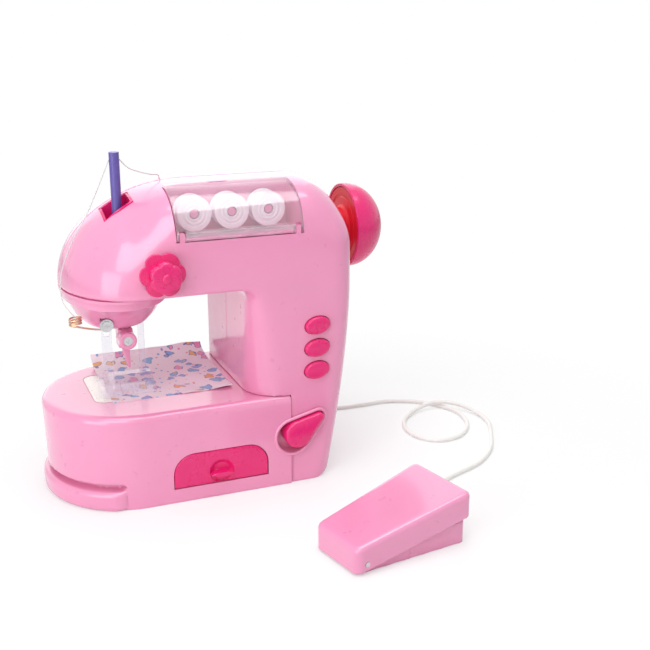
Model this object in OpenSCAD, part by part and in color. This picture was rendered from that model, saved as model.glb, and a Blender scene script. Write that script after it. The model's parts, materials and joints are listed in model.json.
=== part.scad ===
// Toy sewing machine with a foot pedal on a cord.
// X runs along the machine to the hand wheel, Y to the back, Z up.
// The origin is on the table under the middle of the body.

/* [Body] */
// Depth of the body from front to back
body_w = 107; // [104:1:110]
// Height of the top of the arm
body_top = 191; // [189:0.5:194]
// Moulded wall thickness
wall = 2.4; // [2:0.1:2.8]
// Height of the bed surface
bed_top = 59.5; // [57:0.5:61]
// Height of the underside of the arm
arm_under = 129.5; // [128.5:0.5:131]
// Distance from the origin to the right end of the column
end_x = 95; // [94:0.5:98]
// Distance from the origin to the tip of the head
nose_reach = 78; // [77:0.5:81]
// Place along X where the bed meets the column
seam_x = 51.5; // [50:0.5:53]
// Place along X of the column wall beside the throat
throat_x = 26.5; // [25.5:0.5:27.5]

/* [Base] */
// Distance from the origin to the centre of the round left end
round_x = 40; // [38:0.5:42]
// How far the lip stands out at the left end
lip_out = 3.5; // [2:0.5:5]
// Height of the lip of the base cover
lip_h = 12.5; // [11:0.5:14]
// Height of the groove above the lip
groove_h = 4; // [3:0.5:5]
// Where the lip and groove run out along the front
lip_end_x = 54; // [50:1:58]

/* [Bobbin window] */
// Left edge of the window
window_x = -17; // [-19:0.5:-16]
// Length of the window
window_l = 78; // [77:0.5:80]
// Drop from the top of the arm to the lower edge of the window
window_drop = 29.5; // [28.5:0.5:30]
// Thickness of the clear cover
cover_t = 1.6; // [1.2:0.1:1.8]
// Bobbin diameter
bobbin_d = 21; // [19:0.5:21]
// Bobbin width
bobbin_w = 13; // [11:0.5:13]
// Spacing of the bobbins
bobbin_pitch = 23; // [22.5:0.5:24]
// Diameter of the pegs that carry the bobbins
peg_d = 5.4; // [4.5:0.1:6]

/* [Needle] */
// Needle bar axis along X
needle_x = -42.5; // [-43.5:0.5:-41.5]
// Needle bar axis along Y
needle_y = -12; // [-13:0.5:-11]
// Needle stroke
stroke = 12; // [10:0.5:12]
// Diameter of the thread take-up rod
rod_d = 6; // [5:0.5:6.5]
// Height of the rod above the top of the arm
rod_rise = 19; // [16:0.5:22]
// Diameter of the needle bar
bar_d = 8; // [7:0.5:8.5]
// Needle diameter
needle_d = 1.4; // [1.2:0.1:1.8]
// Lift of the presser foot
foot_lift = 6; // [4:0.5:6]

/* [Drive] */
// Height of the main shaft above the underside of the arm
shaft_rise = 23.5; // [23:0.5:24]
// Diameter of the main shaft
shaft_d = 6; // [5:0.5:6]
// Gear module
gear_m = 1; // [0.9:0.05:1]
// Width of the gears
gear_w = 5; // [4:0.5:6]
// Diameter of the hand wheel
wheel_d = 53; // [48:0.5:56]
// Height of the wheel's dome
dome_h = 28.5; // [25:0.5:32]
// Diameter of the motor can
motor_d = 24; // [21:0.5:25]
// Length of the motor can
motor_l = 30; // [26:0.5:32]

/* [Controls] */
// Tension knob axis along X
knob_x = -26.7; // [-28:0.1:-26]
// Tension knob axis above the underside of the arm
knob_rise = 15.2; // [14:0.1:16]
// Diameter over the lobes of the knob's flange
knob_d = 27; // [24:0.5:28]
// Button length
button_l = 16.5; // [14:0.5:17.5]
// Button height
button_h = 11; // [9:0.5:11.5]
// Spacing of the buttons
button_pitch = 14.5; // [14:0.1:15.5]
// Button travel
button_travel = 1.5; // [1:0.1:2]
// Travel of the power switch
switch_travel = 3.5; // [2.5:0.5:4]

/* [Drawer] */
// Drawer width
drawer_w = 60; // [56:0.5:62]
// Height of the drawer front
drawer_h = 21.5; // [20:0.5:23]
// Depth of the drawer
drawer_d = 44; // [40:0.5:46]
// Drawer wall thickness
drawer_t = 1.8; // [1.5:0.1:2.2]

/* [Pedal] */
// Pedal length
pedal_l = 76; // [72:0.5:82]
// Pedal width at the hinge end
pedal_w = 39.5; // [37:0.5:42]
// Extra width at the raised end
pedal_flare = 11; // [8:0.5:12]
// Height of the pedal's hinge end
pedal_low = 16; // [15:0.5:18]
// Height of the pedal's raised end
pedal_high = 32; // [30:0.5:34]
// Pedal wall thickness
pedal_t = 2; // [1.6:0.1:2.4]
// Cord diameter
cord_d = 3; // [2.6:0.1:3.2]

/* [Hidden] */
$fn = 48;

// Colours
pink = [0.95, 0.63, 0.77];
hot_pink = [0.91, 0.15, 0.47];
pale = [0.98, 0.9, 0.94];
clear = [0.95, 0.9, 0.95, 0.4];
steel = [0.7, 0.71, 0.73];
dark = [0.25, 0.25, 0.28];
white = [0.93, 0.93, 0.91];

// Clearances shared by the mating pieces
over = 1;
gap = 0.4;
fit = 0.06;
seat = 0.1;

// Body outlines
hw = body_w / 2;
crown_x = 0;
nose_up = 1.5;
nose_z = arm_under + nose_up;
nose_under = 5;
nose_cx = 35;
corner_l = 30;
corner_h = 36;
taper_z = 124;
taper_in = 16;
foot_r = 12;
end_r = 15;
top_r = 33;
arch_r = 8;
corner_w = 25.5;
corner_top_w = 9;
corner_deep_share = 0.9;
rear_corner = 10;

function arc(c, r, a0, a1, n) = [for (i = [0:n]) let (t = a0 + (a1 - a0) * i / n)
    [c[0] + r[0] * cos(t), c[1] + r[1] * sin(t)]];
function oval(c, r, n) = [for (i = [0:n - 1]) [c[0] + r[0] * cos(360 * i / n),
    c[1] + r[1] * sin(360 * i / n)]];
function right_x(z) = end_x - taper_in * pow(max(0, taper_z - z) / taper_z, 1.6);

// Outline of arm and column seen from the front, drawn in by e
function side_points(e) =
    let (b = body_top - nose_z - e)
    let (start = 180 - asin(max(0, arm_under + e - nose_z) / b))
    let (open_x = e > 0 ? seam_x - over : seam_x)
    concat(
        e > 0 ? [] : [[nose_under - nose_reach, arm_under]],
        arc([crown_x, nose_z], [crown_x + nose_reach - e, b], start, 90, 16),
        arc([end_x - corner_l, body_top - corner_h], [corner_l - e, corner_h - e], 90, 0, 8),
        [for (i = [0:6]) let (z = taper_z + (foot_r - taper_z) * i / 6) [right_x(z) - e, z]],
        arc([right_x(foot_r) - foot_r, foot_r], [foot_r - e, foot_r - e], -15, -90, 5),
        [[open_x, e], [open_x, bed_top + e], [throat_x + e, bed_top + e]],
        arc([throat_x - arch_r, arm_under - arch_r], [arch_r + e, arch_r + e], 0, 90, 5)
    );

// Outline seen from above, drawn in by e
function plan_points(e) = concat(
    arc([-nose_cx, 0], [nose_reach - nose_cx - e, hw - e], 90, 270, 20),
    arc([end_x - end_r, end_r - hw], [end_r - e, end_r - e], -90, 0, 6),
    arc([end_x - end_r, hw - end_r], [end_r - e, end_r - e], 0, 90, 6)
);

// Outline seen from the end, drawn in by e
function end_points(e) = concat(
    [[e - hw, 0], [hw - e, 0]],
    arc([hw - top_r, body_top - top_r], [top_r - e, top_r - e], 0, 90, 9),
    arc([top_r - hw, body_top - top_r], [top_r - e, top_r - e], 90, 180, 9)
);

// Extrudes along Y, from y0 to y1, what is drawn in X and Z
module along_y(y0, y1) {
    translate([0, y1, 0]) rotate([90, 0, 0]) linear_extrude(y1 - y0) children();
}

// Extrudes along X, from x0 to x1, what is drawn in Y and Z
module along_x(x0, x1) {
    translate([x0, 0, 0]) rotate([90, 0, 90]) linear_extrude(x1 - x0) children();
}

module rod_y(x, z, d, y0, y1) {
    translate([x, y0, z]) rotate([-90, 0, 0]) cylinder(d = d, h = y1 - y0);
}

module rod_x(y, z, d, x0, x1) {
    translate([x0, y, z]) rotate([0, 90, 0]) cylinder(d = d, h = x1 - x0);
}

module rod_z(x, y, d, z0, z1) {
    translate([x, y, z0]) cylinder(d = d, h = z1 - z0);
}

module box(x0, x1, y0, y1, z0, z1) {
    translate([x0, y0, z0]) cube([x1 - x0, y1 - y0, z1 - z0]);
}

module ring_y(x, z, d, bore, y0, y1) {
    difference() {
        rod_y(x, z, d, y0, y1);
        rod_y(x, z, bore, y0 - over, y1 + over);
    }
}

module ring_x(y, z, d, bore, x0, x1) {
    difference() {
        rod_x(y, z, d, x0, x1);
        rod_x(y, z, bore, x0 - over, x1 + over);
    }
}

// Tubes that follow a path
function unit(v) = v / norm(v);
function heading(p, i) = unit(p[min(i + 1, len(p) - 1)] - p[max(i - 1, 0)]);
function spline(a, b, c, d, t) = 0.5 * (2 * b + (c - a) * t + (2 * a - 5 * b + 4 * c - d) * t * t
    + (3 * b - a - 3 * c + d) * t * t * t);
function smooth(p, n) = concat([for (i = [0:len(p) - 2]) for (j = [0:n - 1])
    spline(p[max(i - 1, 0)], p[i], p[i + 1], p[min(i + 2, len(p) - 1)], j / n)], [p[len(p) - 1]]);
function ring_at(p, i, r, sides, up) =
    let (t = heading(p, i), u = unit(cross(t, up)), v = cross(t, u))
    [for (k = [0:sides - 1]) p[i] + r * (cos(360 * k / sides) * u + sin(360 * k / sides) * v)];

module tube(path, d, sides, up) {
    n = len(path);
    points = [for (i = [0:n - 1]) each ring_at(path, i, d / 2, sides, up)];
    walls = [for (i = [0:n - 2]) for (k = [0:sides - 1])
        let (a = i * sides + k, b = i * sides + (k + 1) % sides)
        each [[a, b, b + sides], [a, b + sides, a + sides]]];
    first = [for (k = [1:sides - 2]) [0, k + 1, k]];
    last = [for (k = [1:sides - 2]) let (o = (n - 1) * sides) [o, o + k, o + k + 1]];
    polyhedron(points, concat(walls, first, last));
}

// Rounded corner of the column at the throat, as the solid that is cut away
function corner_size(z, w0, w1) = w1 + (w0 - w1) * sqrt(max(0, (arm_under - z) / (arm_under - bed_top)));
function corner_ring(z, e, w0, w1, n) =
    let (w = corner_size(z, w0, w1), d = w * corner_deep_share)
    concat([[throat_x - over, -hw - over, z], [throat_x - over, d - hw, z]],
        [for (i = [0:n]) [throat_x + w - (w - e) * cos(90 * i / n), d - hw - (d - e) * sin(90 * i / n), z]],
        [[throat_x + w, -hw - over, z]]);

module corner_cut(e, w0, w1) {
    n = 8;
    levels = 7;
    m = n + 4;
    low = bed_top + e - (e > 0 ? over : 0);
    high = arm_under + e;
    points = [for (j = [0:levels]) each corner_ring(low + (high - low) * j / levels, e, w0, w1, n)];
    walls = [for (j = [0:levels - 1]) for (k = [0:m - 1]) let (a = j * m + k, b = j * m + (k + 1) % m)
        each [[a, b + m, b], [a, a + m, b + m]]];
    floor_faces = [for (k = [1:m - 2]) [0, k, k + 1]];
    roof_faces = [for (k = [1:m - 2]) let (o = levels * m) [o, o + k + 1, o + k]];
    polyhedron(points, concat(walls, floor_faces, roof_faces));
}

module corner_cuts(e) {
    corner_cut(e, corner_w, corner_top_w);
    mirror([0, 1, 0]) corner_cut(e, rear_corner, rear_corner);
}

// Egg shape of the head: sections across the arm, rounder towards the nose, drawn in by e
head_x = -10;
head_steps = 10;
head_power = 3.7;
nose_power = 1.85;
nose_share = 0.36;
function power_at(s) = nose_power + (head_power - nose_power) * max(0, 1 - s / nose_share);
function head_place(s, e) = head_x - (nose_reach + head_x - e) * sin(90 * s);
function nose_drop(x, c, r) = sqrt(max(0, 1 - pow(min(0, x - c) / r, 2)));
function head_w(x, e) = (hw - e) * nose_drop(x, -nose_cx, nose_reach - nose_cx - e);
function head_h(x, e) = (body_top - nose_z - e) * nose_drop(x, -crown_x, crown_x + nose_reach - e);
function head_section(w, h, q, low) = concat(
    [[-w, low], [-w, nose_z]],
    [for (i = [1:15]) let (t = 180 - 180 * i / 16)
        [sign(cos(t)) * w * pow(abs(cos(t)), 2 / q), nose_z + h * pow(sin(t), 2 / q)]],
    [[w, nose_z], [w, low]]
);

module head_slice(x, points) {
    translate([x, 0, 0]) rotate([90, 0, 90]) linear_extrude(seat) polygon(points);
}

module head_cap(e) {
    hull() {
        for (i = [0:head_steps - 1]) let (s = i / head_steps, x = head_place(s, e))
            head_slice(x, head_section(head_w(x, e), head_h(x, e), power_at(s), arm_under - over));
        translate([e - nose_reach, -seat / 2, arm_under - over])
            cube([seat, seat, nose_z + over - arm_under]);
        for (x = [head_x + over, end_x + over])
            head_slice(x, head_section(hw + over, body_top - nose_z + over, head_power, -over));
    }
}

// Arm and column, drawn in by e, between two planes across Y
module body_solid(e, y0, y1) {
    intersection() {
        head_cap(e);
        along_y(y0, y1) polygon(side_points(e));
        linear_extrude(body_top + over) polygon(plan_points(e));
        along_x(-nose_reach - over, end_x + over) polygon(end_points(e));
    }
}

module body_half(y0, y1, in0, in1) {
    difference() {
        body_solid(0, y0, y1);
        difference() {
            body_solid(wall, in0, in1);
            corner_cuts(wall);
        }
        corner_cuts(0);
    }
}

// Case screws: places along X and above the table
screw_d = 3;
screw_head_d = 5.6;
screw_head_h = 2.2;
screw_grip = 12;
screw_bite = 10;
boss_d = 8;
shaft_z = arm_under + shaft_rise;
bush_d = 10;
bush_left = -8;
bush_in = 11;
bush_x = [bush_left, end_x - bush_in];
bush_w = 5;
rib_w = 3;
rib_h = 13;
case_datums = [[-nose_reach, arm_under], [throat_x, arm_under], [end_x, shaft_z], [end_x, bed_top],
    [seam_x, foot_r], [throat_x, bed_top]];
case_offsets = [[18, 19], [-19, 7], [-7, 14], [-11, 35], [19, 1.5], [10, 38]];
case_places = case_datums + case_offsets;

module case_bosses(y0, y1) {
    for (p = case_places) rod_y(p[0], p[1], boss_d, y0, y1);
}

module bush_ribs(y0, y1) {
    for (x = bush_x) box(x - rib_w / 2, x + rib_w / 2, y0, y1, shaft_z - rib_h / 2, shaft_z + rib_h / 2);
}

module bush_bores() {
    for (x = bush_x) rod_x(0, shaft_z, bush_d, x - bush_w, x + bush_w);
}

// Hole in the end wall for the shaft
module shaft_hole() {
    rod_x(0, shaft_z, shaft_d + 4 * gap, end_x - 2 * wall, end_x + over);
}

// Bosses and ribs of one half, trimmed to the body
module body_inside(y0, y1) {
    difference() {
        intersection() {
            body_solid(wall / 2, y0, y1);
            union() {
                case_bosses(y0, y1);
                bush_ribs(y0, y1);
            }
        }
        corner_cuts(wall / 2);
        bush_bores();
    }
}

// Bobbin window and its hinge
window_z = body_top - window_drop;
window_end = window_x + window_l;
window_back = top_r - hw;
tray_t = 1.6;
tray_lap = 0.5;
tray_back = window_back + tray_lap;
hinge_r = 3;
hinge_pin_d = 2;
hinge_y = hinge_r + gap - hw;
hinge_z = window_z + hinge_r + gap;

module window_cut() {
    box(window_x, window_end, -hw - over, window_back + gap, window_z, body_top + over);
}

// Tension knob
knob_z = arm_under + knob_rise;
knob_stem_d = 6;

// Buttons
button_in = 42.2;
button_up = 29.2;
button_x = throat_x + button_in;
button_z = bed_top + button_up;
button_tilt = 8;
button_step_x = 0.3;
button_proud = 1.8;
flange_w = 1.4;
flange_t = 1.4;

function button_place(i) = [button_x + button_step_x * (i - 1), button_z + button_pitch * (i - 1)];

module button_shape(i, grow) {
    p = button_place(i);
    translate(p) rotate(button_tilt) polygon(oval([0, 0], [button_l / 2 + grow, button_h / 2 + grow], 36));
}

// Teardrop of the power switch: fat end, narrow end
switch_fat_in = 0.5;
switch_fat_z = 32;
switch_fat_r = 10.5;
switch_run = 17;
switch_climb = 11.5;
switch_tip_r = 3.5;
switch_fat = [seam_x + switch_fat_in, switch_fat_z];
switch_turn = atan2(switch_climb, switch_run);
switch_span = norm([switch_run, switch_climb]);
switch_well_t = 1.6;
switch_deep = 9;
switch_proud = 4;

// Teardrop drawn in by e, with its fat end at s along the travel
function teardrop_points(e, s) =
    let (slope = (switch_fat_r - switch_tip_r) / switch_span, lean = acos(slope), span = switch_span - s)
    let (r0 = switch_fat_r - slope * s - e, r1 = switch_tip_r - e)
    concat(arc([s, 0], [r0, r0], lean, 360 - lean, 24), arc([s + span, 0], [r1, r1], -lean, lean, 10));

module teardrop(e, s) {
    translate(switch_fat) rotate(switch_turn) polygon(teardrop_points(e, s));
}

module switch_cut() {
    along_y(-hw - over, wall + over - hw) teardrop(0, 0);
}

// Pocket that guides the rod
pocket_l = 17.5;
pocket_w = 17.5;
pocket_off = 0.7;
pocket_deep = 23;
pocket_x = needle_x - pocket_off;
pocket_z = body_top - pocket_deep;
pocket_t = 1.4;
pocket_floor = 2.4;

module pocket_block(e, z0) {
    box(pocket_x - pocket_l / 2 + e, pocket_x + pocket_l / 2 - e, needle_y - pocket_w / 2 + e,
        needle_y + pocket_w / 2 - e, z0, body_top + over);
}

// Board behind the buttons, on two posts
board_room = 3;
board_y = wall - hw + flange_t + button_travel + board_room;
board_t = 1.6;
board_w = 22;
board_bite = 4;
board_margin = 12;
post_d = 5;
post_x = button_x - board_w / 2 + post_d / 2;
post_z = [button_z - button_pitch - board_margin + post_d / 2,
    button_z + button_pitch + board_margin - post_d / 2];

module front_shell() {
    color(pink) difference() {
        union() {
            body_half(-hw, 0, -hw, over);
            body_inside(-hw, 0);
            for (z = post_z) rod_y(post_x, z, post_d, wall / 2 - hw, board_y - seat);
        }
        window_cut();
        pocket_block(-seat, pocket_z - pocket_floor - seat);
        rod_y(knob_x, knob_z, knob_stem_d + 2 * gap, -hw - over, over + wall - hw);
        for (i = [0:2]) along_y(-hw - over, wall + over - hw) button_shape(i, gap);
        switch_cut();
        for (p = case_places) rod_y(p[0], p[1], screw_d, -screw_bite - over, over);
        for (z = post_z) rod_y(post_x, z, screw_d / 2, board_y - board_bite, board_y + over);
        shaft_hole();
        housing_bores();
    }
}

// Eyelet and cord hole in the back
eyelet_x = -12;
eyelet_y = 6;
eyelet_d = 2;
gland_in = 6;
gland_x = seam_x + gland_in;
gland_z = 14;
gland_d = 8;

module rear_shell() {
    color(pink) difference() {
        union() {
            body_half(0, hw, -over, hw);
            body_inside(0, hw);
        }
        for (p = case_places) {
            rod_y(p[0], p[1], screw_d + 2 * seat, -over, hw + over);
            rod_y(p[0], p[1], screw_head_d + 2 * gap, screw_grip, hw + over);
        }
        rod_z(eyelet_x, eyelet_y, eyelet_d, body_top - 2 * wall, body_top + over);
        rod_y(gland_x, gland_z, gland_d, hw - wall - over, hw + over);
        shaft_hole();
        housing_bores();
    }
}

module case_screws() {
    color(steel) for (p = case_places) {
        rod_y(p[0], p[1], screw_d, -screw_bite, screw_grip);
        rod_y(p[0], p[1], screw_head_d, screw_grip, screw_grip + screw_head_h);
    }
}

// Bed and base cover share these outlines
bed_in = 1.8;
bed_edge = 3.5;
cover_r = 3.5;
function bed_points(a, e) = concat(
    arc([-round_x, 0], [a - e, hw - e], 90, 270, 24),
    [[seam_x, e - hw], [seam_x, hw - e]]
);

module slab(points, z, h) {
    translate([0, 0, z]) linear_extrude(h) polygon(points);
}

bed_z0 = lip_h + groove_h;
base_datums = [[-round_x, 0], [-round_x, 0], [seam_x, hw], [seam_x, 0]];
base_offsets = [[-26, -22], [-26, 22], [-9, -10], [-9, -24]];
base_bosses = base_datums + base_offsets;
drawer_x = 5;
drawer_z = 9.5;
drawer_corner_r = 13;

// Drawer front outline, grown by e
module drawer_outline(e) {
    r = drawer_corner_r + e;
    left = drawer_x - drawer_w / 2;
    right = drawer_x + drawer_w / 2;
    round_z = drawer_z + drawer_h - drawer_corner_r;
    polygon(concat([[right + e, drawer_z - e], [left - e, drawer_z - e]],
        arc([left + drawer_corner_r, round_z], [r, r], 180, 90, 8),
        arc([right - drawer_corner_r, round_z], [r, r], 90, 0, 8)));
}

plate_l = 43;
plate_w = 52;
plate_y = 4;
plate_t = 0.8;
plate_r = 7;
needle_hole = 3.4;

// Needle plate outline, drawn in by e
module plate_outline(e) {
    translate([needle_x, plate_y]) {
        square([plate_l - 2 * e, plate_w - 2 * plate_r], center = true);
        square([plate_l - 2 * plate_r, plate_w - 2 * e], center = true);
        for (x = [-1, 1]) for (y = [-1, 1])
            translate([x * (plate_l / 2 - plate_r), y * (plate_w / 2 - plate_r)]) circle(plate_r - e);
    }
}

module bed_shell() {
    color(pink) difference() {
        union() {
            difference() {
                hull() {
                    slab(bed_points(hw - bed_in, 0), 0, wall);
                    slab(bed_points(hw, 0), bed_top - 3 * bed_edge, wall);
                    slab(bed_points(hw, bed_edge / 4), bed_top - bed_edge, bed_edge / 2);
                    slab(bed_points(hw, bed_edge), bed_top - wall, wall);
                }
                slab(bed_points(hw - bed_in, wall), -over, bed_top - wall + over);
                box(seam_x - over, seam_x + over, wall - hw, hw - wall, -over, bed_top - wall);
                box(-round_x - 2 * hw, -lip_end_x, -hw - over, hw + over, -over, bed_z0);
            }
            for (p = base_bosses) rod_z(p[0], p[1], boss_d, wall + seat, bed_top - wall / 2);
        }
        along_y(-hw - over, wall + over - hw) drawer_outline(gap);
        translate([0, 0, bed_top - plate_t - seat]) linear_extrude(plate_t + over) plate_outline(-seat);
        rod_z(needle_x, needle_y, needle_hole, bed_top - wall - over, bed_top);
        switch_cut();
        for (p = base_bosses) rod_z(p[0], p[1], screw_d, 0, wall + screw_bite);
    }
}

// Battery compartment in the base cover
batt_x = -32;
batt_l = 56;
batt_y = 5;
batt_w = 34;
batt_h = 18;
batt_t = 1.6;
batt_tab = 8;
cell_d = 14.5;
cell_l = 50.5;
cell_gap = 1;
contact_t = 0.8;
door_t = 2;
groove_d = 5;
runner_w = 3;
runner_share = 0.36;
door_screw_x = batt_x + batt_l + batt_tab / 2;
door_screw_y = batt_y + batt_w / 2;

module lip_region(z1) {
    box(-round_x - 2 * hw, -lip_end_x - seat, -hw - over, hw + over, 0, z1);
}

module door_outline(e) {
    translate([batt_x + e, batt_y + e]) square([batt_l + batt_tab - 2 * e, batt_w - 2 * e]);
}

module base_cover() {
    color(pink) difference() {
        union() {
            intersection() {
                hull() {
                    slab(bed_points(hw + lip_out, cover_r), 0, lip_h);
                    slab(bed_points(hw + lip_out, 0), cover_r, lip_h - 2 * cover_r);
                }
                lip_region(lip_h);
            }
            intersection() {
                slab(bed_points(hw - bed_in, groove_d), 0, bed_z0 - seat);
                lip_region(bed_z0);
            }
            slab(bed_points(hw - bed_in, wall + seat), 0, wall);
            for (s = [-1, 1]) box(drawer_x + s * runner_share * drawer_w - runner_w / 2,
                drawer_x + s * runner_share * drawer_w + runner_w / 2,
                2 * wall - hw, drawer_d - hw, wall / 2, drawer_z - gap);
            box(batt_x - batt_t, batt_x + batt_l + batt_tab + batt_t, batt_y - batt_t,
                batt_y + batt_w + batt_t,
                0, batt_h + batt_t);
        }
        difference() {
            slab(bed_points(hw - bed_in, groove_d + wall), wall, bed_z0);
            box(-lip_end_x - wall, seam_x + over, -hw, hw, 0, 2 * bed_z0);
            for (p = base_bosses) rod_z(p[0], p[1], boss_d, 0, bed_z0);
        }
        for (p = base_bosses) {
            rod_z(p[0], p[1], boss_d + 2 * seat, wall, 2 * bed_z0);
            rod_z(p[0], p[1], screw_d + 2 * seat, -over, wall + over);
            rod_z(p[0], p[1], screw_head_d + 2 * seat, -over, screw_head_h / 2);
        }
        translate([0, 0, -over]) linear_extrude(over + door_t + seat) door_outline(0);
        box(batt_x, batt_x + batt_l, batt_y, batt_y + batt_w, 0, batt_h);
        rod_z(door_screw_x, door_screw_y, screw_d, 0, door_t + screw_bite);
    }
}

module base_screws() {
    color(steel) for (p = base_bosses) {
        rod_z(p[0], p[1], screw_d, screw_head_h / 2, wall + screw_bite);
        rod_z(p[0], p[1], screw_head_d, 0, screw_head_h / 2);
    }
}

module battery_door() {
    color(pink) difference() {
        linear_extrude(door_t) door_outline(gap / 2);
        rod_z(door_screw_x, door_screw_y, screw_d + 2 * seat, -over, door_t + over);
        rod_z(door_screw_x, door_screw_y, screw_head_d + 2 * seat, -over, door_t / 2);
    }
}

module battery_door_screw() {
    color(steel) union() {
        rod_z(door_screw_x, door_screw_y, screw_d, 0, door_t + screw_bite - over);
        rod_z(door_screw_x, door_screw_y, screw_head_d, 0, door_t / 2);
    }
}

cell_z = door_t + gap + cell_d / 2;
cell_y = [batt_y + batt_w / 2 - (cell_d + cell_gap) / 2, batt_y + batt_w / 2 + (cell_d + cell_gap) / 2];
cell_x = batt_x + batt_l / 2;

module battery_cells() {
    color(dark) for (y = cell_y) {
        rod_x(y, cell_z, cell_d, cell_x - cell_l / 2, cell_x + cell_l / 2 - over);
        rod_x(y, cell_z, cell_d / 3, cell_x + cell_l / 2 - over, cell_x + cell_l / 2);
    }
}

module battery_contacts() {
    depth = (batt_l - cell_l) / 2 - seat;
    color(steel) for (y = cell_y) {
        box(batt_x, batt_x + contact_t, y - cell_d / 3, y + cell_d / 3, door_t + gap, cell_z + cell_d / 2);
        rod_x(y, cell_z, cell_d / 2, batt_x + contact_t, batt_x + depth);
        box(batt_x + batt_l - contact_t, batt_x + batt_l, y - cell_d / 3, y + cell_d / 3,
            door_t + gap, cell_z + cell_d / 2);
        rod_x(y, cell_z, cell_d / 2, batt_x + batt_l - depth, batt_x + batt_l - contact_t);
    }
}

module needle_plate() {
    color(steel) difference() {
        translate([0, 0, bed_top - plate_t]) linear_extrude(plate_t) plate_outline(0);
        rod_z(needle_x, needle_y, needle_hole, bed_top - plate_t - over, bed_top + over);
    }
}

// Piece of fabric under the foot
fabric_t = 0.6;
fabric_left = 11.5;
fabric_ahead = 12.5;
fabric_x = needle_x - fabric_left;
fabric_l = 76;
fabric_y = needle_y - fabric_ahead;
fabric_flat = 52;
fabric_rise = 7;
fabric_curl = 24;

function fabric_curve(z, n) = [for (i = [0:n]) [fabric_y + fabric_flat + fabric_curl * sin(90 * i / n),
    z + fabric_rise * (1 - cos(90 * i / n))]];

module fabric_piece() {
    low = bed_top + seat;
    color(pale) along_x(fabric_x, fabric_x + fabric_l) polygon(concat(
        [[fabric_y, low]], fabric_curve(low, 8),
        [for (i = [8:-1:0]) fabric_curve(low + fabric_t, 8)[i]], [[fabric_y, low + fabric_t]]));
}

// Housing under the head
housing_off = 2.5;
housing_x = needle_x - housing_off;
collar_h = 8.5;
cup_h = 16;
collar_rx = 33;
collar_in = 3.5;
collar_low_rx = 31;
collar_low_in = 11.5;
collar_top = [collar_rx, hw - collar_in];
collar_low = [collar_low_rx, hw - collar_low_in];
cup_y = -3;
cup_top = [30, 38];
cup_mid = [26, 30];
cup_low = [18, 18];
cup_mid_share = 0.5;
collar_z = arm_under - collar_h;
cup_z = collar_z - cup_h;
guide_left = 12.5;
guide_up = 4;
guide_screw_x = needle_x - guide_left;
guide_screw_z = cup_z + guide_up;
post_t = 2;
post_w = 6;
post_ahead = 10;
post_front = needle_y - post_ahead;
slot_w = screw_d + 2 * seat;
post_top = guide_screw_z + slot_w;
stay_right = 10.5;
stay_behind = 8;
stay_x = needle_x + stay_right;
stay_w = 3.5;
stay_y = needle_y + stay_behind;
stay_d = 4;

module housing_bores() {
    rod_z(needle_x, needle_y, bar_d + 4 * gap, arm_under - over, arm_under + wall + over);
}

module needle_housing() {
    color(pink) difference() {
        union() {
            hull() {
                slab(oval([housing_x, 0], collar_top, 40), arm_under - wall / 2, wall / 2);
                slab(oval([housing_x, 0], collar_low, 40), collar_z, wall / 2);
            }
            hull() {
                slab(oval([housing_x, cup_y], cup_top, 32), collar_z, wall / 2);
                slab(oval([housing_x, cup_y], cup_mid, 32), cup_z + cup_mid_share * cup_h, wall / 2);
                slab(oval([housing_x, cup_y], cup_low, 32), cup_z, wall / 2);
            }
        }
        rod_z(needle_x, needle_y, bar_d + 2 * fit, cup_z - over, arm_under + over);
        rod_z(needle_x, needle_y, bar_d + 4 * gap, collar_z, arm_under + over);
        box(guide_screw_x - post_w / 2 - gap, guide_screw_x + post_w / 2 + gap, -2 * hw,
            post_front + post_t + gap,
            cup_z - over, post_top + foot_lift + gap);
        box(stay_x - gap, stay_x + stay_w + gap, stay_y - gap, stay_y + stay_d + gap, cup_z - over,
            cup_z + foot_lift + gap);
        rod_y(guide_screw_x, guide_screw_z, screw_d, post_front, post_front + screw_bite + over);
        rod_y(guide_screw_x, guide_screw_z, washer_d + 2 * gap, -2 * hw, post_front);
    }
}

// Pocket of the rod
module rod_guide() {
    color(hot_pink) difference() {
        intersection() {
            pocket_block(0, pocket_z - pocket_floor);
            body_solid(seat, -hw, 0);
        }
        pocket_block(pocket_t, pocket_z);
        rod_z(needle_x, needle_y, rod_d + 2 * fit, pocket_z - pocket_floor - over, pocket_z + over);
    }
}

// Bobbin compartment
bobbin_lift = 2.4;
bobbin_z = window_z + bobbin_lift + bobbin_d / 2;
bobbin_room = 2;
bobbin_back = tray_back - bobbin_room;
bobbin_x = [for (i = [-1:1]) window_x + window_l / 2 - over / 2 + bobbin_pitch * i];
bobbin_bore = peg_d + 2 * gap;
ear_in = 2;
ear_w = 3;
ear_reach = 3.6;
ear_up = 1.7;

ear_x = [window_x + ear_in, window_end - ear_in - ear_w];

module ears() {
    for (x = ear_x) box(x, x + ear_w, hinge_y - hinge_r / 2, hinge_y + ear_reach, window_z,
        hinge_z + ear_up);
}

// Room in the cover round each ear
module ear_notches() {
    for (x = ear_x) box(x - gap, x + ear_w + gap, -hw - over, hinge_y + ear_reach + gap, window_z - tray_t,
        hinge_z + ear_up + 2 * gap);
}

module bobbin_tray() {
    color(pink) union() {
        difference() {
            intersection() {
                body_solid(wall + seat, -hw, 0);
                box(window_x - tray_t, window_end + tray_t, -hw, tray_back + tray_t, window_z - tray_t,
                    body_top);
            }
            box(window_x, window_end, -hw, tray_back, window_z, body_top);
        }
        for (x = bobbin_x) rod_y(x, bobbin_z, peg_d, bobbin_back - bobbin_w + over, tray_back + tray_t / 2);
        difference() {
            ears();
            rod_x(hinge_y, hinge_z, hinge_pin_d + 2 * fit, window_x, window_end);
        }
    }
}

ring_count = 2;

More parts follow.
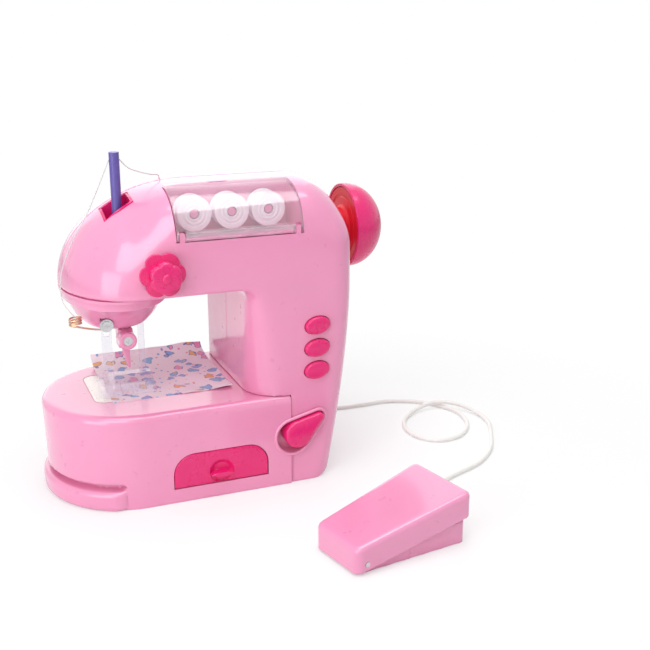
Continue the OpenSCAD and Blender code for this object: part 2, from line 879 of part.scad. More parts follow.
module bobbin(x) {
    step = (bobbin_d - bobbin_bore) / 2 / (ring_count + 1);
    face = bobbin_back - bobbin_w;
    color(pale) difference() {
        ring_y(x, bobbin_z, bobbin_d, bobbin_bore, face, bobbin_back);
        for (i = [1:ring_count]) ring_y(x, bobbin_z, bobbin_bore + 2 * step * i + step / 2,
            bobbin_bore + 2 * step * i - step / 2, face - over, face + step / 4);
    }
}

module bobbin_left() bobbin(bobbin_x[0]);
module bobbin_middle() bobbin(bobbin_x[1]);
module bobbin_right() bobbin(bobbin_x[2]);

cover_past = 2;
finger_l = 12;
finger_h = 3;

module spool_cover() {
    c = [window_back, body_top - top_r];
    low = 180 - asin((hinge_z - c[1]) / top_r);
    high = 90 + cover_past;
    color(clear) difference() {
        union() {
            intersection() {
                along_x(window_x + gap, window_end - gap) polygon(concat(
                    arc(c, [top_r, top_r], low, high, 10),
                    arc(c, [top_r - cover_t, top_r - cover_t], high, low, 10)));
                along_y(-hw - over, 0) polygon(side_points(0));
            }
            rod_x(hinge_y, hinge_z, 2 * hinge_r, window_x + gap, window_end - gap);
        }
        difference() {
            ear_notches();
            rod_x(hinge_y, hinge_z, hinge_pin_d, window_x, window_end);
        }
        box(window_x + window_l / 2 - finger_l, window_x + window_l / 2, window_back - finger_h,
            window_back + over,
            body_top - top_r / 2, body_top + over);
    }
}

// Brass thread guide: coil, arm and eye round its screw
wire_d = 1.1;
wire_gap = 0.5;
coil_turns = 3;
coil_r = 3.4;
coil_left = 18;
coil_ahead = 1.4;
coil_up = 2.2;
coil_x = guide_screw_x - coil_left;
coil_y = post_front - coil_ahead;
coil_z = guide_screw_z + coil_up;
washer_d = 8;
washer_t = 0.9;
coil_pitch = wire_d + wire_gap;
wire_y = post_front - gap - wire_d / 2;
eye_r = screw_d / 2 + wire_d / 2 + 2 * seat;
wire_bend = [guide_screw_x - washer_d / 2 - wire_d, wire_y, guide_screw_z - eye_r];
coil_path = [for (i = [0:24 * coil_turns]) let (t = 360 * i / 24)
    [coil_x + coil_r * cos(t - 90), coil_y + coil_r * sin(t - 90),
        coil_z + coil_pitch * (coil_turns - i / 24)]];
coil_end = [coil_x, coil_y - coil_r, coil_z];
arm_path = [for (i = [1:4]) coil_end + (wire_bend - coil_end) * i / 4];
eye_path = [for (i = [0:9]) let (t = 270 * i / 9 - 90)
    [guide_screw_x + eye_r * cos(t), wire_y, guide_screw_z + eye_r * sin(t)]];
coil_self = min([for (i = [0:24 * coil_turns - 18]) for (j = [i + 18:24 * coil_turns])
    norm(coil_path[i] - coil_path[j])]) - wire_d;
echo(coil_gap = coil_self);

module thread_guide_wire() {
    color([0.75, 0.5, 0.3]) tube(concat(coil_path, arm_path, eye_path), wire_d, 6, [0.3, 0.5, 0.8]);
}

module wire_screw() {
    front = wire_y - wire_d / 2 - seat;
    color(steel) difference() {
        union() {
            rod_y(guide_screw_x, guide_screw_z, screw_d, front, post_front + screw_bite);
            rod_y(guide_screw_x, guide_screw_z, washer_d, front - washer_t, front);
            rod_y(guide_screw_x, guide_screw_z, screw_head_d, front - washer_t - screw_head_h / 2,
                front - washer_t);
        }
        for (a = [0, 90]) translate([guide_screw_x, front - washer_t - screw_head_h / 2, guide_screw_z])
            rotate([0, a, 0]) cube([screw_head_d / 2, screw_head_h / 2, screw_head_d / 8], center = true);
    }
}

// Drive train
crank_r = stroke / 2;
crank_pin_d = 4;
crank_rim = 4;
crank_d = 2 * crank_r + crank_pin_d + crank_rim;
crank_t = 3;
yoke_t = 3.6;
yoke_off = 4.9;
yoke_x = needle_x + yoke_off;
crank_x = yoke_x + yoke_t + over;
shaft_left = crank_x;
hub_gap = 1.2;
hub_x = end_x + hub_gap;
hub_boss_d = 24;
hub_boss_l = 8;
hub_flange_t = 3;
rim_x = hub_x + hub_boss_l;
dome_t = 2.4;
dome_boss_d = 12;
shaft_past = 8;
shaft_right = rim_x + hub_flange_t + shaft_past;
gear_teeth = 42;
pinion_teeth = 14;
gear_backlash = 0.16;
gear_addendum_share = 0.8;
gear_dedendum_share = 1.05;
pressure = 20;
gear_in = 19;
gear_x = end_x - gear_in;
gear_reach = gear_m * (gear_teeth + pinion_teeth) / 2 + seat;
motor_z = shaft_z - gear_reach;
motor_gap = 6;
motor_x = gear_x - motor_gap;
motor_shaft_d = 2.3;
bush_flange = 3;

function involute(a) = tan(a) - a * PI / 180;
function half_tooth(n, r) =
    let (rp = gear_m * n / 2, rb = rp * cos(pressure), a = acos(min(1, rb / max(r, rb))))
    90 / n - gear_backlash / rp * 90 / PI + (involute(pressure) - involute(a)) * 180 / PI;
function polar(r, a) = [r * cos(a), r * sin(a)];
function gear_points(n, phase) =
    let (rp = gear_m * n / 2, rb = rp * cos(pressure), ra = rp + gear_addendum_share * gear_m)
    let (rf = rp - gear_dedendum_share * gear_m, rl = max(rb, rf), rs = [rf, rl, (rl + rp) / 2, rp,
        (rp + ra) / 2, ra])
    [for (i = [0:n - 1]) let (c = phase + 360 * i / n) each concat(
        [for (r = rs) polar(r, c - half_tooth(n, r))],
        [for (k = [5:-1:0]) polar(rs[k], c + half_tooth(n, rs[k]))])];

module shaft_bushes() {
    color(pale) for (x = bush_x) difference() {
        union() {
            rod_x(0, shaft_z, bush_d - 2 * fit, x - rib_w / 2 - seat, x + rib_w / 2 + over);
            rod_x(0, shaft_z, bush_d + bush_flange, x - rib_w / 2 - seat - over, x - rib_w / 2 - seat);
        }
        rod_x(0, shaft_z, shaft_d + 2 * fit, x - bush_w, x + bush_w);
    }
}

module main_shaft() {
    color(steel) rod_x(0, shaft_z, shaft_d, shaft_left, shaft_right);
}

module crank_disc() {
    color(white) union() {
        difference() {
            rod_x(0, shaft_z, crank_d, crank_x - seat, crank_x + crank_t);
            rod_x(0, shaft_z, shaft_d, crank_x, crank_x + crank_t + over);
        }
        rod_x(0, shaft_z + crank_r, crank_pin_d, yoke_x - over / 2, crank_x + crank_t / 2);
    }
}

module drive_gear() {
    color(white) difference() {
        translate([0, 0, shaft_z]) along_x(gear_x, gear_x + gear_w) polygon(gear_points(gear_teeth, -90));
        rod_x(0, shaft_z, shaft_d, gear_x - over, gear_x + gear_w + over);
    }
}

module motor_pinion() {
    color(white) union() {
        translate([0, 0, motor_z]) along_x(gear_x - over, gear_x + gear_w + over)
            polygon(gear_points(pinion_teeth, 90 + 180 / pinion_teeth));
        rod_x(0, motor_z, motor_shaft_d, motor_x - motor_l / 4, gear_x + over);
    }
}

module drive_motor() {
    boss_l = 2;
    color(steel) difference() {
        union() {
            rod_x(0, motor_z, motor_d, motor_x - motor_l, motor_x);
            rod_x(0, motor_z, motor_d / 3, motor_x, motor_x + boss_l);
        }
        rod_x(0, motor_z, motor_shaft_d + 2 * fit, motor_x - motor_l / 3, motor_x + boss_l + over);
    }
}

bracket_t = 4;
bracket_w = 8;

module motor_bracket() {
    x0 = motor_x - motor_l / 2 - bracket_w;
    color(white) difference() {
        union() {
            box(x0, x0 + bracket_w, wall + seat - hw, hw - wall - seat, motor_z - motor_d / 2 - bracket_t,
                motor_z - motor_d / 2 + bracket_t / 2);
            rod_x(0, motor_z, motor_d + 2 * bracket_t, x0, x0 + bracket_w);
        }
        rod_x(0, motor_z, motor_d + 2 * seat, x0 - over, x0 + bracket_w + over);
        box(x0 - over, x0 + bracket_w + over, -motor_d / 3, motor_d / 3, motor_z, motor_z + motor_d);
    }
}

module wheel_hub() {
    color([0.85, 0.14, 0.2]) difference() {
        union() {
            rod_x(0, shaft_z, hub_boss_d, hub_x, rim_x);
            rod_x(0, shaft_z, wheel_d - 2 * dome_t - 2 * seat, rim_x, rim_x + hub_flange_t);
        }
        rod_x(0, shaft_z, shaft_d, hub_x - over, rim_x + hub_flange_t + over);
    }
}

// Dome drawn as radius and height, drawn in by e
function dome_points(e) = concat([[0, 0]], [[wheel_d / 2 - e, 0]], [[wheel_d / 2 - e, hub_flange_t]],
    [for (i = [1:16]) [(wheel_d / 2 - e) * cos(90 * i / 16),
        hub_flange_t + (dome_h - e) * sin(90 * i / 16)]]);

module hand_wheel() {
    color(hot_pink) translate([rim_x, 0, shaft_z]) rotate([0, 90, 0]) difference() {
        union() {
            difference() {
                rotate_extrude($fn = 64) polygon(dome_points(0));
                translate([0, 0, -seat]) rotate_extrude($fn = 64) polygon(dome_points(dome_t));
            }
            translate([0, 0, hub_flange_t]) cylinder(d = dome_boss_d, h = dome_h - dome_t);
        }
        translate([0, 0, -over]) cylinder(d = shaft_d, h = shaft_right - rim_x + over + seat);
    }
}

// Needle group, drawn at the top of the stroke
yoke_z = shaft_z + crank_r;
yoke_play = 1.6;
yoke_half = crank_r + crank_pin_d / 2 + gap;
yoke_rim = 2.4;
yoke_top = yoke_z + crank_pin_d / 2 + yoke_play + yoke_rim;
yoke_low = yoke_z - crank_pin_d / 2 - yoke_play - yoke_rim;
clamp_gap = 1.5;
clamp_top = cup_z - clamp_gap;
clamp_h = 12;
clamp_w = 9;
clamp_d = 10;
hub_d = 10.8;
hub_z = clamp_top - clamp_h / 2;
hub_ahead = 12;
hub_front = needle_y - hub_ahead;
clamp_floor = 1.5;
bar_low = clamp_top - clamp_h + clamp_floor;
tongue_h = 14;
tongue_w = 5;
needle_off = 2;
needle_past = 1.5;
needle_tip = clamp_top - clamp_h - tongue_h - needle_past;
rod_top = body_top + rod_rise;
eye_drop = 4.5;
rod_eye_z = rod_top - eye_drop;
rod_eye_d = 1.6;

module needle_bar() {
    color(pink) difference() {
        union() {
            rod_z(needle_x, needle_y, bar_d, bar_low, yoke_top);
            box(needle_x, yoke_x + yoke_t, needle_y - bar_d / 2, -yoke_half, yoke_low, yoke_top);
            box(yoke_x, yoke_x + yoke_t, needle_y, yoke_half + yoke_rim, yoke_low, yoke_top);
        }
        box(yoke_x - over, yoke_x + yoke_t + over, -yoke_half, yoke_half, yoke_low + yoke_rim,
            yoke_top - yoke_rim);
    }
}

module take_up_rod() {
    color([0.43, 0.37, 0.73]) difference() {
        rod_z(needle_x, needle_y, rod_d, yoke_top, rod_top);
        rod_x(needle_y, rod_eye_z, rod_eye_d, needle_x - rod_d, needle_x + rod_d);
    }
}

module needle_clamp() {
    low = clamp_top - clamp_h;
    color(pink) difference() {
        union() {
            box(needle_x - clamp_w / 2, needle_x + clamp_w / 2, needle_y - clamp_d / 2,
                needle_y + clamp_d / 2,
                low, clamp_top);
            rod_y(needle_x, hub_z, hub_d, hub_front, needle_y);
            along_y(needle_y - tongue_w / 2, needle_y + tongue_w / 2) polygon([
                [needle_x - tongue_w / 2, low + over], [needle_x + tongue_w / 2, low + over],
                [needle_x + tongue_w / 2, low - tongue_h], [needle_x + tongue_w / 6, low - tongue_h]]);
        }
        rod_z(needle_x, needle_y, bar_d, bar_low, clamp_top + over);
        rod_z(needle_x + needle_off, needle_y, needle_d, low - tongue_h - over, bar_low - over / 2);
        rod_y(needle_x, hub_z, screw_d, hub_front - over, needle_y - bar_d / 2);
        rod_y(needle_x, hub_z, screw_head_d, hub_front - over, hub_front + screw_head_h);
    }
}

module clamp_screw() {
    color(dark) difference() {
        union() {
            rod_y(needle_x, hub_z, screw_d, hub_front + over, needle_y - bar_d / 2);
            rod_y(needle_x, hub_z, screw_head_d, hub_front + over / 2, hub_front + screw_head_h);
        }
        for (a = [0, 90]) translate([needle_x, hub_front + over / 2, hub_z]) rotate([0, a, 0])
            cube([screw_head_d / 2, screw_head_h / 2, screw_head_d / 8], center = true);
    }
}

module needle() {
    x = needle_x + needle_off;
    color(steel) union() {
        rod_z(x, needle_y, needle_d, needle_tip + 2 * needle_d, bar_low - over / 2);
        translate([x, needle_y, needle_tip]) cylinder(d1 = needle_d / 4, d2 = needle_d, h = 2 * needle_d);
    }
}

// Clear presser foot with its guard posts
foot_z = bed_top + seat + fabric_t + gap / 2;
foot_left = 11.5;
foot_ahead = 4;
foot_behind = 16;
foot_x = needle_x - foot_left;
foot_l = 29;
foot_front = needle_y - foot_ahead;
foot_back = needle_y + foot_behind;
foot_h = 9;
toe_t = 2;
needle_slot = [needle_x - tongue_w / 2 - over, needle_x + tongue_w / 2 + over];

module presser_foot() {
    post_x0 = guide_screw_x - post_w / 2;
    color(clear) difference() {
        union() {
            along_x(foot_x, foot_x + foot_l) polygon([[foot_front, foot_z], [foot_back, foot_z],
                [foot_back, foot_z + foot_h], [needle_y + foot_h, foot_z + foot_h], [foot_front,
                    foot_z + toe_t]]);
            along_x(post_x0, post_x0 + post_w) polygon([[post_front, foot_z + foot_h], [foot_front, foot_z],
                [foot_back, foot_z], [foot_back, foot_z + foot_h], [post_front + post_t,
                    foot_z + 2 * foot_h],
                [post_front, foot_z + 2 * foot_h]]);
            box(post_x0, post_x0 + post_w, post_front, post_front + post_t, foot_z + foot_h, post_top);
            box(stay_x, stay_x + stay_w, stay_y, stay_y + stay_d, foot_z + toe_t, cup_z - gap);
        }
        box(needle_slot[0], needle_slot[1], foot_front - over, needle_y + tongue_w, foot_z - over,
            foot_z + 2 * foot_h);
        box(guide_screw_x - slot_w / 2, guide_screw_x + slot_w / 2, post_front - over,
            post_front + post_t + over,
            guide_screw_z - foot_lift - slot_w / 2, guide_screw_z + slot_w / 2);
    }
}

// Tension knob
knob_flange_t = 2.6;
knob_barrel_l = 5;
knob_face_t = 4;
lobe_share = 0.36;
knob_face_share = 0.7;
knob_barrel_share = 0.8;
knob_front = -hw - gap - knob_flange_t - knob_barrel_l - knob_face_t;
clip_d = 11;
clip_t = 2;
clip_room = 1.6;
clip_y = wall - hw + clip_room;

// Six round petals around the knob axis, over diameter d
module petals(d, turn) {
    r = lobe_share * d / 2;
    translate([knob_x, knob_z]) {
        circle(d / 2 - r);
        for (i = [0:5]) rotate(60 * i + turn) translate([d / 2 - r, 0]) circle(r);
    }
}

module tension_knob() {
    face_d = knob_d * knob_face_share;
    color(hot_pink) union() {
        along_y(-hw - gap - knob_flange_t, -hw - gap) petals(knob_d, 0);
        rod_y(knob_x, knob_z, face_d * knob_barrel_share, knob_front + knob_face_t - over, -hw - gap);
        along_y(knob_front, knob_front + knob_face_t) petals(face_d, 30);
        rod_y(knob_x, knob_z, face_d / 3, knob_front - over, knob_front + over);
        rod_y(knob_x, knob_z, knob_stem_d, -hw - over, clip_y + clip_t);
    }
}

module knob_clip() {
    color(white) ring_y(knob_x, knob_z, clip_d, knob_stem_d, clip_y, clip_y + clip_t);
}

// Buttons, board and switch
module button(i) {
    color(hot_pink) union() {
        along_y(-hw - button_proud, wall - hw + seat) button_shape(i, 0);
        along_y(wall - hw + seat, wall - hw + seat + flange_t) button_shape(i, flange_w);
    }
}

module button_1() button(2);

module button_2() button(1);

module button_3() button(0);

tact = 6;

module control_board() {
    x0 = button_x - board_w / 2;
    stop = wall - hw + seat + flange_t + button_travel + seat;
    color([0.2, 0.45, 0.25]) difference() {
        union() {
            box(x0, x0 + board_w, board_y, board_y + board_t, post_z[0] - post_d / 2,
                post_z[1] + post_d / 2);
            for (i = [0:2]) translate([button_place(i)[0] - tact / 2, stop, button_place(i)[1] - tact / 2])
                cube([tact, board_y - stop + seat, tact]);
        }
        for (z = post_z) rod_y(post_x, z, screw_d / 2 + seat, board_y - over, board_y + board_t + over);
    }
}

module board_screws() {
    color(steel) for (z = post_z) {
        rod_y(post_x, z, screw_d / 2, board_y - board_bite, board_y + board_t);
        rod_y(post_x, z, screw_d, board_y + board_t, board_y + board_t + over);
    }
}

module slide_switch() {
    front = wall - hw + seat;
    color(dark) difference() {
        union() {
            along_y(front, switch_deep - hw) teardrop(-switch_well_t, 0);
            along_y(switch_deep - hw, 2 * switch_deep - hw) translate(switch_fat) circle(switch_fat_r / 2);
        }
        along_y(front - over, switch_deep - switch_well_t - hw) teardrop(0, 0);
    }
}

module power_switch() {
    color(hot_pink) along_y(-hw - switch_proud, switch_deep - switch_well_t - gap - hw)
        teardrop(gap, switch_travel);
}

// Drawer with its tray behind the front
drawer_in = 3;
front_t = 3;
tray_h = 15;
handle_l = 14;
handle_h = 4;
handle_out = 3;

module drawer() {
    x0 = drawer_x - drawer_w / 2 + drawer_in;
    x1 = drawer_x + drawer_w / 2 - drawer_in;
    back = drawer_d - hw;
    color(hot_pink) difference() {
        union() {
            along_y(-hw, front_t - hw) drawer_outline(0);
            box(x0, x1, front_t - hw, back, drawer_z, drawer_z + tray_h);
            box(drawer_x - handle_l / 2, drawer_x + handle_l / 2, -hw - handle_out, over - hw,
                drawer_z + handle_h, drawer_z + 2 * handle_h);
        }
        box(x0 + drawer_t, x1 - drawer_t, front_t - hw, back - drawer_t, drawer_z + drawer_t,
            drawer_z + tray_h + over);
        translate([drawer_x, -hw, drawer_z + 2 * handle_h]) rotate([-90, 0, 0])
            cylinder(d = handle_l - 2 * over, h = 2 * over, center = true);
    }
}

// Pedal, in its own frame with X towards the raised end
pedal_x = 38.6;
pedal_y = -155.5;
pedal_turn = 12.6;
pedal_side_h = 15;
pedal_pin_d = 3;
pedal_pin_x = 7;
pedal_pin_z = 6;
pedal_round = 4;
pedal_floor = 0.8;
base_x0 = 4;
base_h = 9;
base_slope = 5;
spring_x = 50;
spring_d = 8;
spring_wire = 0.8;
spring_turns = 6;

module pedal_place() {
    translate([pedal_x, pedal_y, 0]) rotate([0, 0, pedal_turn]) children();
}

function pedal_half(x) = (pedal_w + pedal_flare * x / pedal_l) / 2;
function lid_top(x) = pedal_low + (pedal_high - pedal_low) * x / pedal_l;
function base_top(x) = base_h + base_slope * x / pedal_l;

module pedal_plan(x0, x1, e) {
    polygon([[x0, e - pedal_half(x0)], [x1, e - pedal_half(x1)], [x1, pedal_half(x1) - e], [x0,
        pedal_half(x0) - e]]);
}

// Side view of the lid, drawn in by e at the top and ends
function lid_points(e) = [[e, pedal_floor], [e, lid_top(0) - pedal_round / 2], [pedal_round / 2 + e,
    lid_top(0) - e],
    [pedal_l - pedal_round / 2 - e, lid_top(pedal_l) - e], [pedal_l - e,
        lid_top(pedal_l) - pedal_round / 2 - e],
    [pedal_l - e, lid_top(pedal_l) - pedal_side_h]];

module pedal_top() {
    color(pink) pedal_place() difference() {
        union() {
            difference() {
                intersection() {
                    along_y(-pedal_l, pedal_l) polygon(lid_points(0));
                    linear_extrude(2 * pedal_high) pedal_plan(0, pedal_l, 0);
                }
                intersection() {
                    along_y(-pedal_l, pedal_l) polygon(concat(lid_points(pedal_t),
                        [[pedal_l - pedal_t, -over], [pedal_t, -over]]));
                    translate([0, 0, -over]) linear_extrude(2 * pedal_high)
                        pedal_plan(pedal_t, pedal_l - pedal_t, pedal_t);
                }
            }
        }
        rod_y(pedal_pin_x, pedal_pin_z, pedal_pin_d + 2 * fit, -pedal_l, pedal_l);
    }
}

module pedal_base() {
    x1 = pedal_l - pedal_t - gap;
    e = pedal_t + gap;
    color(pink) pedal_place() difference() {
        intersection() {
            along_y(-pedal_l, pedal_l) polygon([[base_x0, 0], [x1, 0], [x1, base_top(x1)], [base_x0,
                base_top(base_x0)]]);
            linear_extrude(pedal_high) pedal_plan(base_x0, x1, e);
        }
        intersection() {
            along_y(-pedal_l, pedal_l) polygon([[base_x0 + 3 * pedal_pin_d, wall], [x1 - wall, wall],
                [x1 - wall, base_top(x1) - wall], [base_x0 + 3 * pedal_pin_d, base_top(base_x0) - wall]]);
            linear_extrude(pedal_high) pedal_plan(base_x0, x1, e + wall);
        }
        rod_y(pedal_pin_x, pedal_pin_z, pedal_pin_d, -pedal_l, pedal_l);
        rod_x(0, pedal_gland_z, pedal_gland_d, x1 - wall - over, x1 + over);
        rod_z(spring_x, 0, spring_d + 2 * gap, base_top(spring_x) - spring_seat, pedal_high);
        box(switch_box_x, switch_box_x + switch_box, -switch_box / 2, switch_box / 2, base_top(0),
            pedal_high);
    }
}

module pedal_hinge_pin() {
    h = pedal_half(pedal_pin_x) - seat;
    color(steel) pedal_place() rod_y(pedal_pin_x, pedal_pin_z, pedal_pin_d, -h, h);
}

spring_seat = 1.5;
spring_low = base_top(spring_x) - spring_seat + spring_wire / 2 + seat;
spring_high = lid_top(spring_x) - pedal_t - spring_wire / 2 - 2 * gap;
spring_path = [for (i = [0:12 * spring_turns]) let (t = 30 * i, s = i / (12 * spring_turns))
    [spring_x + (spring_d - spring_wire) / 2 * cos(t), (spring_d - spring_wire) / 2 * sin(t),
        spring_low + (spring_high - spring_low) * s]];
spring_self = min([for (i = [0:12 * spring_turns - 9]) for (j = [i + 9:12 * spring_turns])
    norm(spring_path[i] - spring_path[j])]) - spring_wire;
echo(spring_gap = spring_self);

module pedal_spring() {
    color(steel) pedal_place() tube(spring_path, spring_wire, 6, [0, 0, 1]);
}

switch_box = 8;
switch_box_x = 30;
switch_up = 4;
plunger_up = 2.4;

module pedal_switch() {
    x = switch_box_x + seat;
    w = switch_box - 2 * seat;
    color(dark) pedal_place() union() {
        box(x, x + w, -w / 2, w / 2, base_top(0) + seat, base_top(switch_box_x) + switch_up);
        rod_z(x + w / 2, 0, w / 2, base_top(switch_box_x), base_top(switch_box_x) + switch_up + plunger_up);
    }
}

// Glands and the cord between them
pedal_gland_z = 6;
pedal_gland_d = 6;
gland_out = 8;
gland_tip = 1.6;

module gland_body(d) {
    translate([0, 0, -wall]) cylinder(d = d, h = wall);
    cylinder(d1 = d + over / 2, d2 = cord_d + gland_tip, h = gland_out);
}

module cord_gland() {
    color(white) translate([gland_x, hw, gland_z]) rotate([-90, 0, 0]) gland_body(gland_d - 2 * fit);
}

module pedal_gland() {
    color(white) pedal_place() translate([pedal_l - pedal_t - gap, 0, pedal_gland_z]) rotate([0, 90, 0])
        gland_body(pedal_gland_d - 2 * fit);
}

cord_out = pedal_l - pedal_t - gap + gland_out;
cord_lead = 4;
function cord_place(r) = [pedal_x + r * cos(pedal_turn), pedal_y + r * sin(pedal_turn), pedal_gland_z];
cord_ends = [[gland_x, hw + gland_out, gland_z], cord_place(cord_out)];
cord_leads = [[gland_x, hw + gland_out + cord_lead, gland_z], cord_place(cord_out + cord_lead)];
cord_points = [[58, 72, 12.2], [61, 80, 8], [70, 86, 3.5], [84, 84, 1.7], [98, 73, 1.7], [112, 59, 1.7],
    [127, 51, 1.7], [145, 50, 1.7], [165, 50, 1.7], [183, 43, 1.7], [197, 30, 1.7], [205, 13, 1.7],
    [204, -4, 1.7], [197, -19, 1.7], [184, -30, 1.7], [169, -31, 1.7], [158, -21, 1.7], [156, -4, 1.7],
    [164, 13, 1.8], [180, 24, 3.4], [195, 26, 5.4], [209, 19, 4.6], [217, 4, 2.6], [217, -14, 1.7],
    [209, -32, 1.7], [194, -57, 1.7], [175, -74, 1.7], [152, -84, 1.7], [138, -92, 1.7], [133, -105, 1.8],
    [133, -119, 2.6], [130, -130, 4.8]];

module pedal_cord() {
    loose = smooth(concat([cord_leads[0]], cord_points, [cord_leads[1]]), 2);
    color(white) tube(concat([cord_ends[0]], loose, [cord_ends[1]]), cord_d, 8, [0, 0, 1]);
}

// Threads from the eye of the rod
thread_d = 0.6;
front_points = [[-60, -14, 176], [-70, -16, 160.5], [-77, -18, 146], [-79.5, -19, 134], [-78.5, -20, 124]];
rear_points = [[-34, -9, 200], [-27, -6, 196.7], [-19, -1, 194], [-13.5, 4, 192.6]];

module thread_front() {
    start = [needle_x - rod_d / 2 - seat, needle_y, rod_eye_z];
    end = [coil_x, coil_y, coil_z + coil_pitch * coil_turns];
    color(white) tube(smooth(concat([start], front_points, [end]), 2), thread_d, 6, [0, 1, 0]);
}

module thread_rear() {
    start = [needle_x + rod_d / 2 + seat, needle_y, rod_eye_z];
    end = [eyelet_x, eyelet_y, body_top - wall / 2];
    color(white) tube(smooth(concat([start], rear_points, [end]), 2), thread_d, 6, [0, 1, 0]);
}

front_shell();
rear_shell();
bed_shell();
base_cover();
battery_door();
battery_door_screw();
battery_cells();
battery_contacts();
needle_plate();
needle_housing();
rod_guide();
bobbin_tray();
thread_guide_wire();
wire_screw();
shaft_bushes();
drive_motor();
motor_bracket();
control_board();
slide_switch();
case_screws();
base_screws();
board_screws();
pedal_base();
pedal_hinge_pin();
pedal_spring();
pedal_switch();
pedal_cord();
cord_gland();
pedal_gland();
thread_front();
thread_rear();
fabric_piece();
drawer();
button_1();
button_2();
button_3();
power_switch();
tension_knob();
knob_clip();
spool_cover();
bobbin_left();
bobbin_middle();
bobbin_right();
hand_wheel();
wheel_hub();
main_shaft();
crank_disc();
drive_gear();
motor_pinion();
take_up_rod();
needle_bar();
needle_clamp();
clamp_screw();
needle();
presser_foot();
pedal_top();
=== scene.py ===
"""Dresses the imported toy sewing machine: moulded shells, clear plastic, printed cloth, threads, cord and pedal.

Sizes are in millimetres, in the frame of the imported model, and become metres when a mesh is made.
"""

from __future__ import annotations

import json
import logging
import math
from dataclasses import dataclass, field
from enum import Enum, IntEnum
from typing import Callable, Sequence

import bpy
import numpy as np
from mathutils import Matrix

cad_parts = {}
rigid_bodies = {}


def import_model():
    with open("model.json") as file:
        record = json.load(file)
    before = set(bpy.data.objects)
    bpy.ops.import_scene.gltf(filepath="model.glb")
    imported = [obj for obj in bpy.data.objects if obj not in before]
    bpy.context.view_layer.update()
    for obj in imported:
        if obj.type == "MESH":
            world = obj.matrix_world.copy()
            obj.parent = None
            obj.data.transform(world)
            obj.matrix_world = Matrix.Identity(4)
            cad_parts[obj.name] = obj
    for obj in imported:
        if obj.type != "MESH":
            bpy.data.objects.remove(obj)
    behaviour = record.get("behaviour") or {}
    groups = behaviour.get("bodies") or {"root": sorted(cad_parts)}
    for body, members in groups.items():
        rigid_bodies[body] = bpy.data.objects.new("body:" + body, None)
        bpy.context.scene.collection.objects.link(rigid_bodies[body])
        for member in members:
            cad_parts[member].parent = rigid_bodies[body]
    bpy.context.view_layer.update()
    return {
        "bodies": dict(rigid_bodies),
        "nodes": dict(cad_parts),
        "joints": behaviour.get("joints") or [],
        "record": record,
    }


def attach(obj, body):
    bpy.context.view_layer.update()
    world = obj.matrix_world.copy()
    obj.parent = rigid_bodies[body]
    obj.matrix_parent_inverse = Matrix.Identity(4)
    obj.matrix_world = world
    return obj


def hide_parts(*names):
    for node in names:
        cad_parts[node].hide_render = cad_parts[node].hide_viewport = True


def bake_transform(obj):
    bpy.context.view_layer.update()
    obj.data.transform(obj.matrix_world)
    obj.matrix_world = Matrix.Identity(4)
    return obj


LOG = logging.getLogger("sewing_machine")
MM = 0.001
Array = np.ndarray
Field = Callable[[Array, Array, Array], Array]


class Axis(IntEnum):
    """Axes of the shared frame, by their place in a point."""

    X = 0
    Y = 1
    Z = 2


class Body(str, Enum):
    """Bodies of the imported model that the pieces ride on."""

    MACHINE = "machine"
    NEEDLE = "needle_group"
    WHEEL = "wheel_group"
    FOOT = "foot"
    DRAWER = "drawer"
    SWITCH = "power_switch"
    KNOB = "knob"
    COVER = "spool_cover"
    PEDAL = "pedal_top"


@dataclass(frozen=True)
class Casing:
    """Driving sizes of the casing, the same as the solids'."""

    half_depth: float = 53.5
    under: float = 129.5
    shoulder_z: float = 131.0
    nose_reach: float = 78.0
    nose_centre: float = -35.0
    nose_run: float = 43.0
    crown_h: float = 60.0
    end_x: float = 95.0
    end_r: float = 15.0
    corner_x: float = 65.0
    corner_z: float = 155.0
    corner_run: float = 30.0
    corner_rise: float = 36.0
    taper_z: float = 124.0
    taper_in: float = 16.0
    foot_r: float = 12.0
    throat_x: float = 26.5
    seam_x: float = 51.5
    bed_top: float = 59.5
    round_x: float = -40.0
    undercut: float = 1.8
    lip_out: float = 3.5
    lip_h: float = 12.5
    groove_h: float = 4.0
    lip_end_x: float = -54.0
    window_x: float = -17.0
    window_l: float = 78.0
    window_z: float = 161.5
    shaft_z: float = 153.0
    needle_x: float = -42.5
    needle_y: float = -12.0


CASE = Casing()


def smooth_step(value: Array, low: float, high: float) -> Array:
    """Rises smoothly from 0 at low to 1 at high, as three squares less two cubes.

    Args:
        value: Values to ease.
        low: Value that gives 0.
        high: Value that gives 1.

    Returns:
        The eased shares.
    """
    share = np.clip((value - low) / (high - low), 0.0, 1.0)
    return share * share * (3.0 - 2.0 * share)


def soft_max(first: Array, second: Array, radius: float) -> Array:
    """Greater of two distances, with a fillet of about the radius where they meet.

    Args:
        first: Signed distances, negative inside.
        second: Signed distances, negative inside.
        radius: Width of the blend.

    Returns:
        Signed distances of the filleted intersection.
    """
    lap = np.maximum(radius - np.abs(first - second), 0.0)
    return np.maximum(first, second) + lap * lap / (4.0 * radius)


def soft_min(first: Array, second: Array, radius: float) -> Array:
    """Lesser of two distances with a fillet: the filleted union of two solids."""
    return -soft_max(-first, -second, radius)


def corner(across: Array, along: Array, radius: float) -> Array:
    """Distance to a right-angled corner rounded to a radius.

    Args:
        across: Distance past the first face, negative inside.
        along: Distance past the second face, negative inside.
        radius: Radius of the corner.

    Returns:
        Length of the two overhangs past the inset faces, less the radius.
    """
    one, two = across + radius, along + radius
    return np.hypot(np.maximum(one, 0.0), np.maximum(two, 0.0)) + np.minimum(np.maximum(one, two), 0.0) - radius


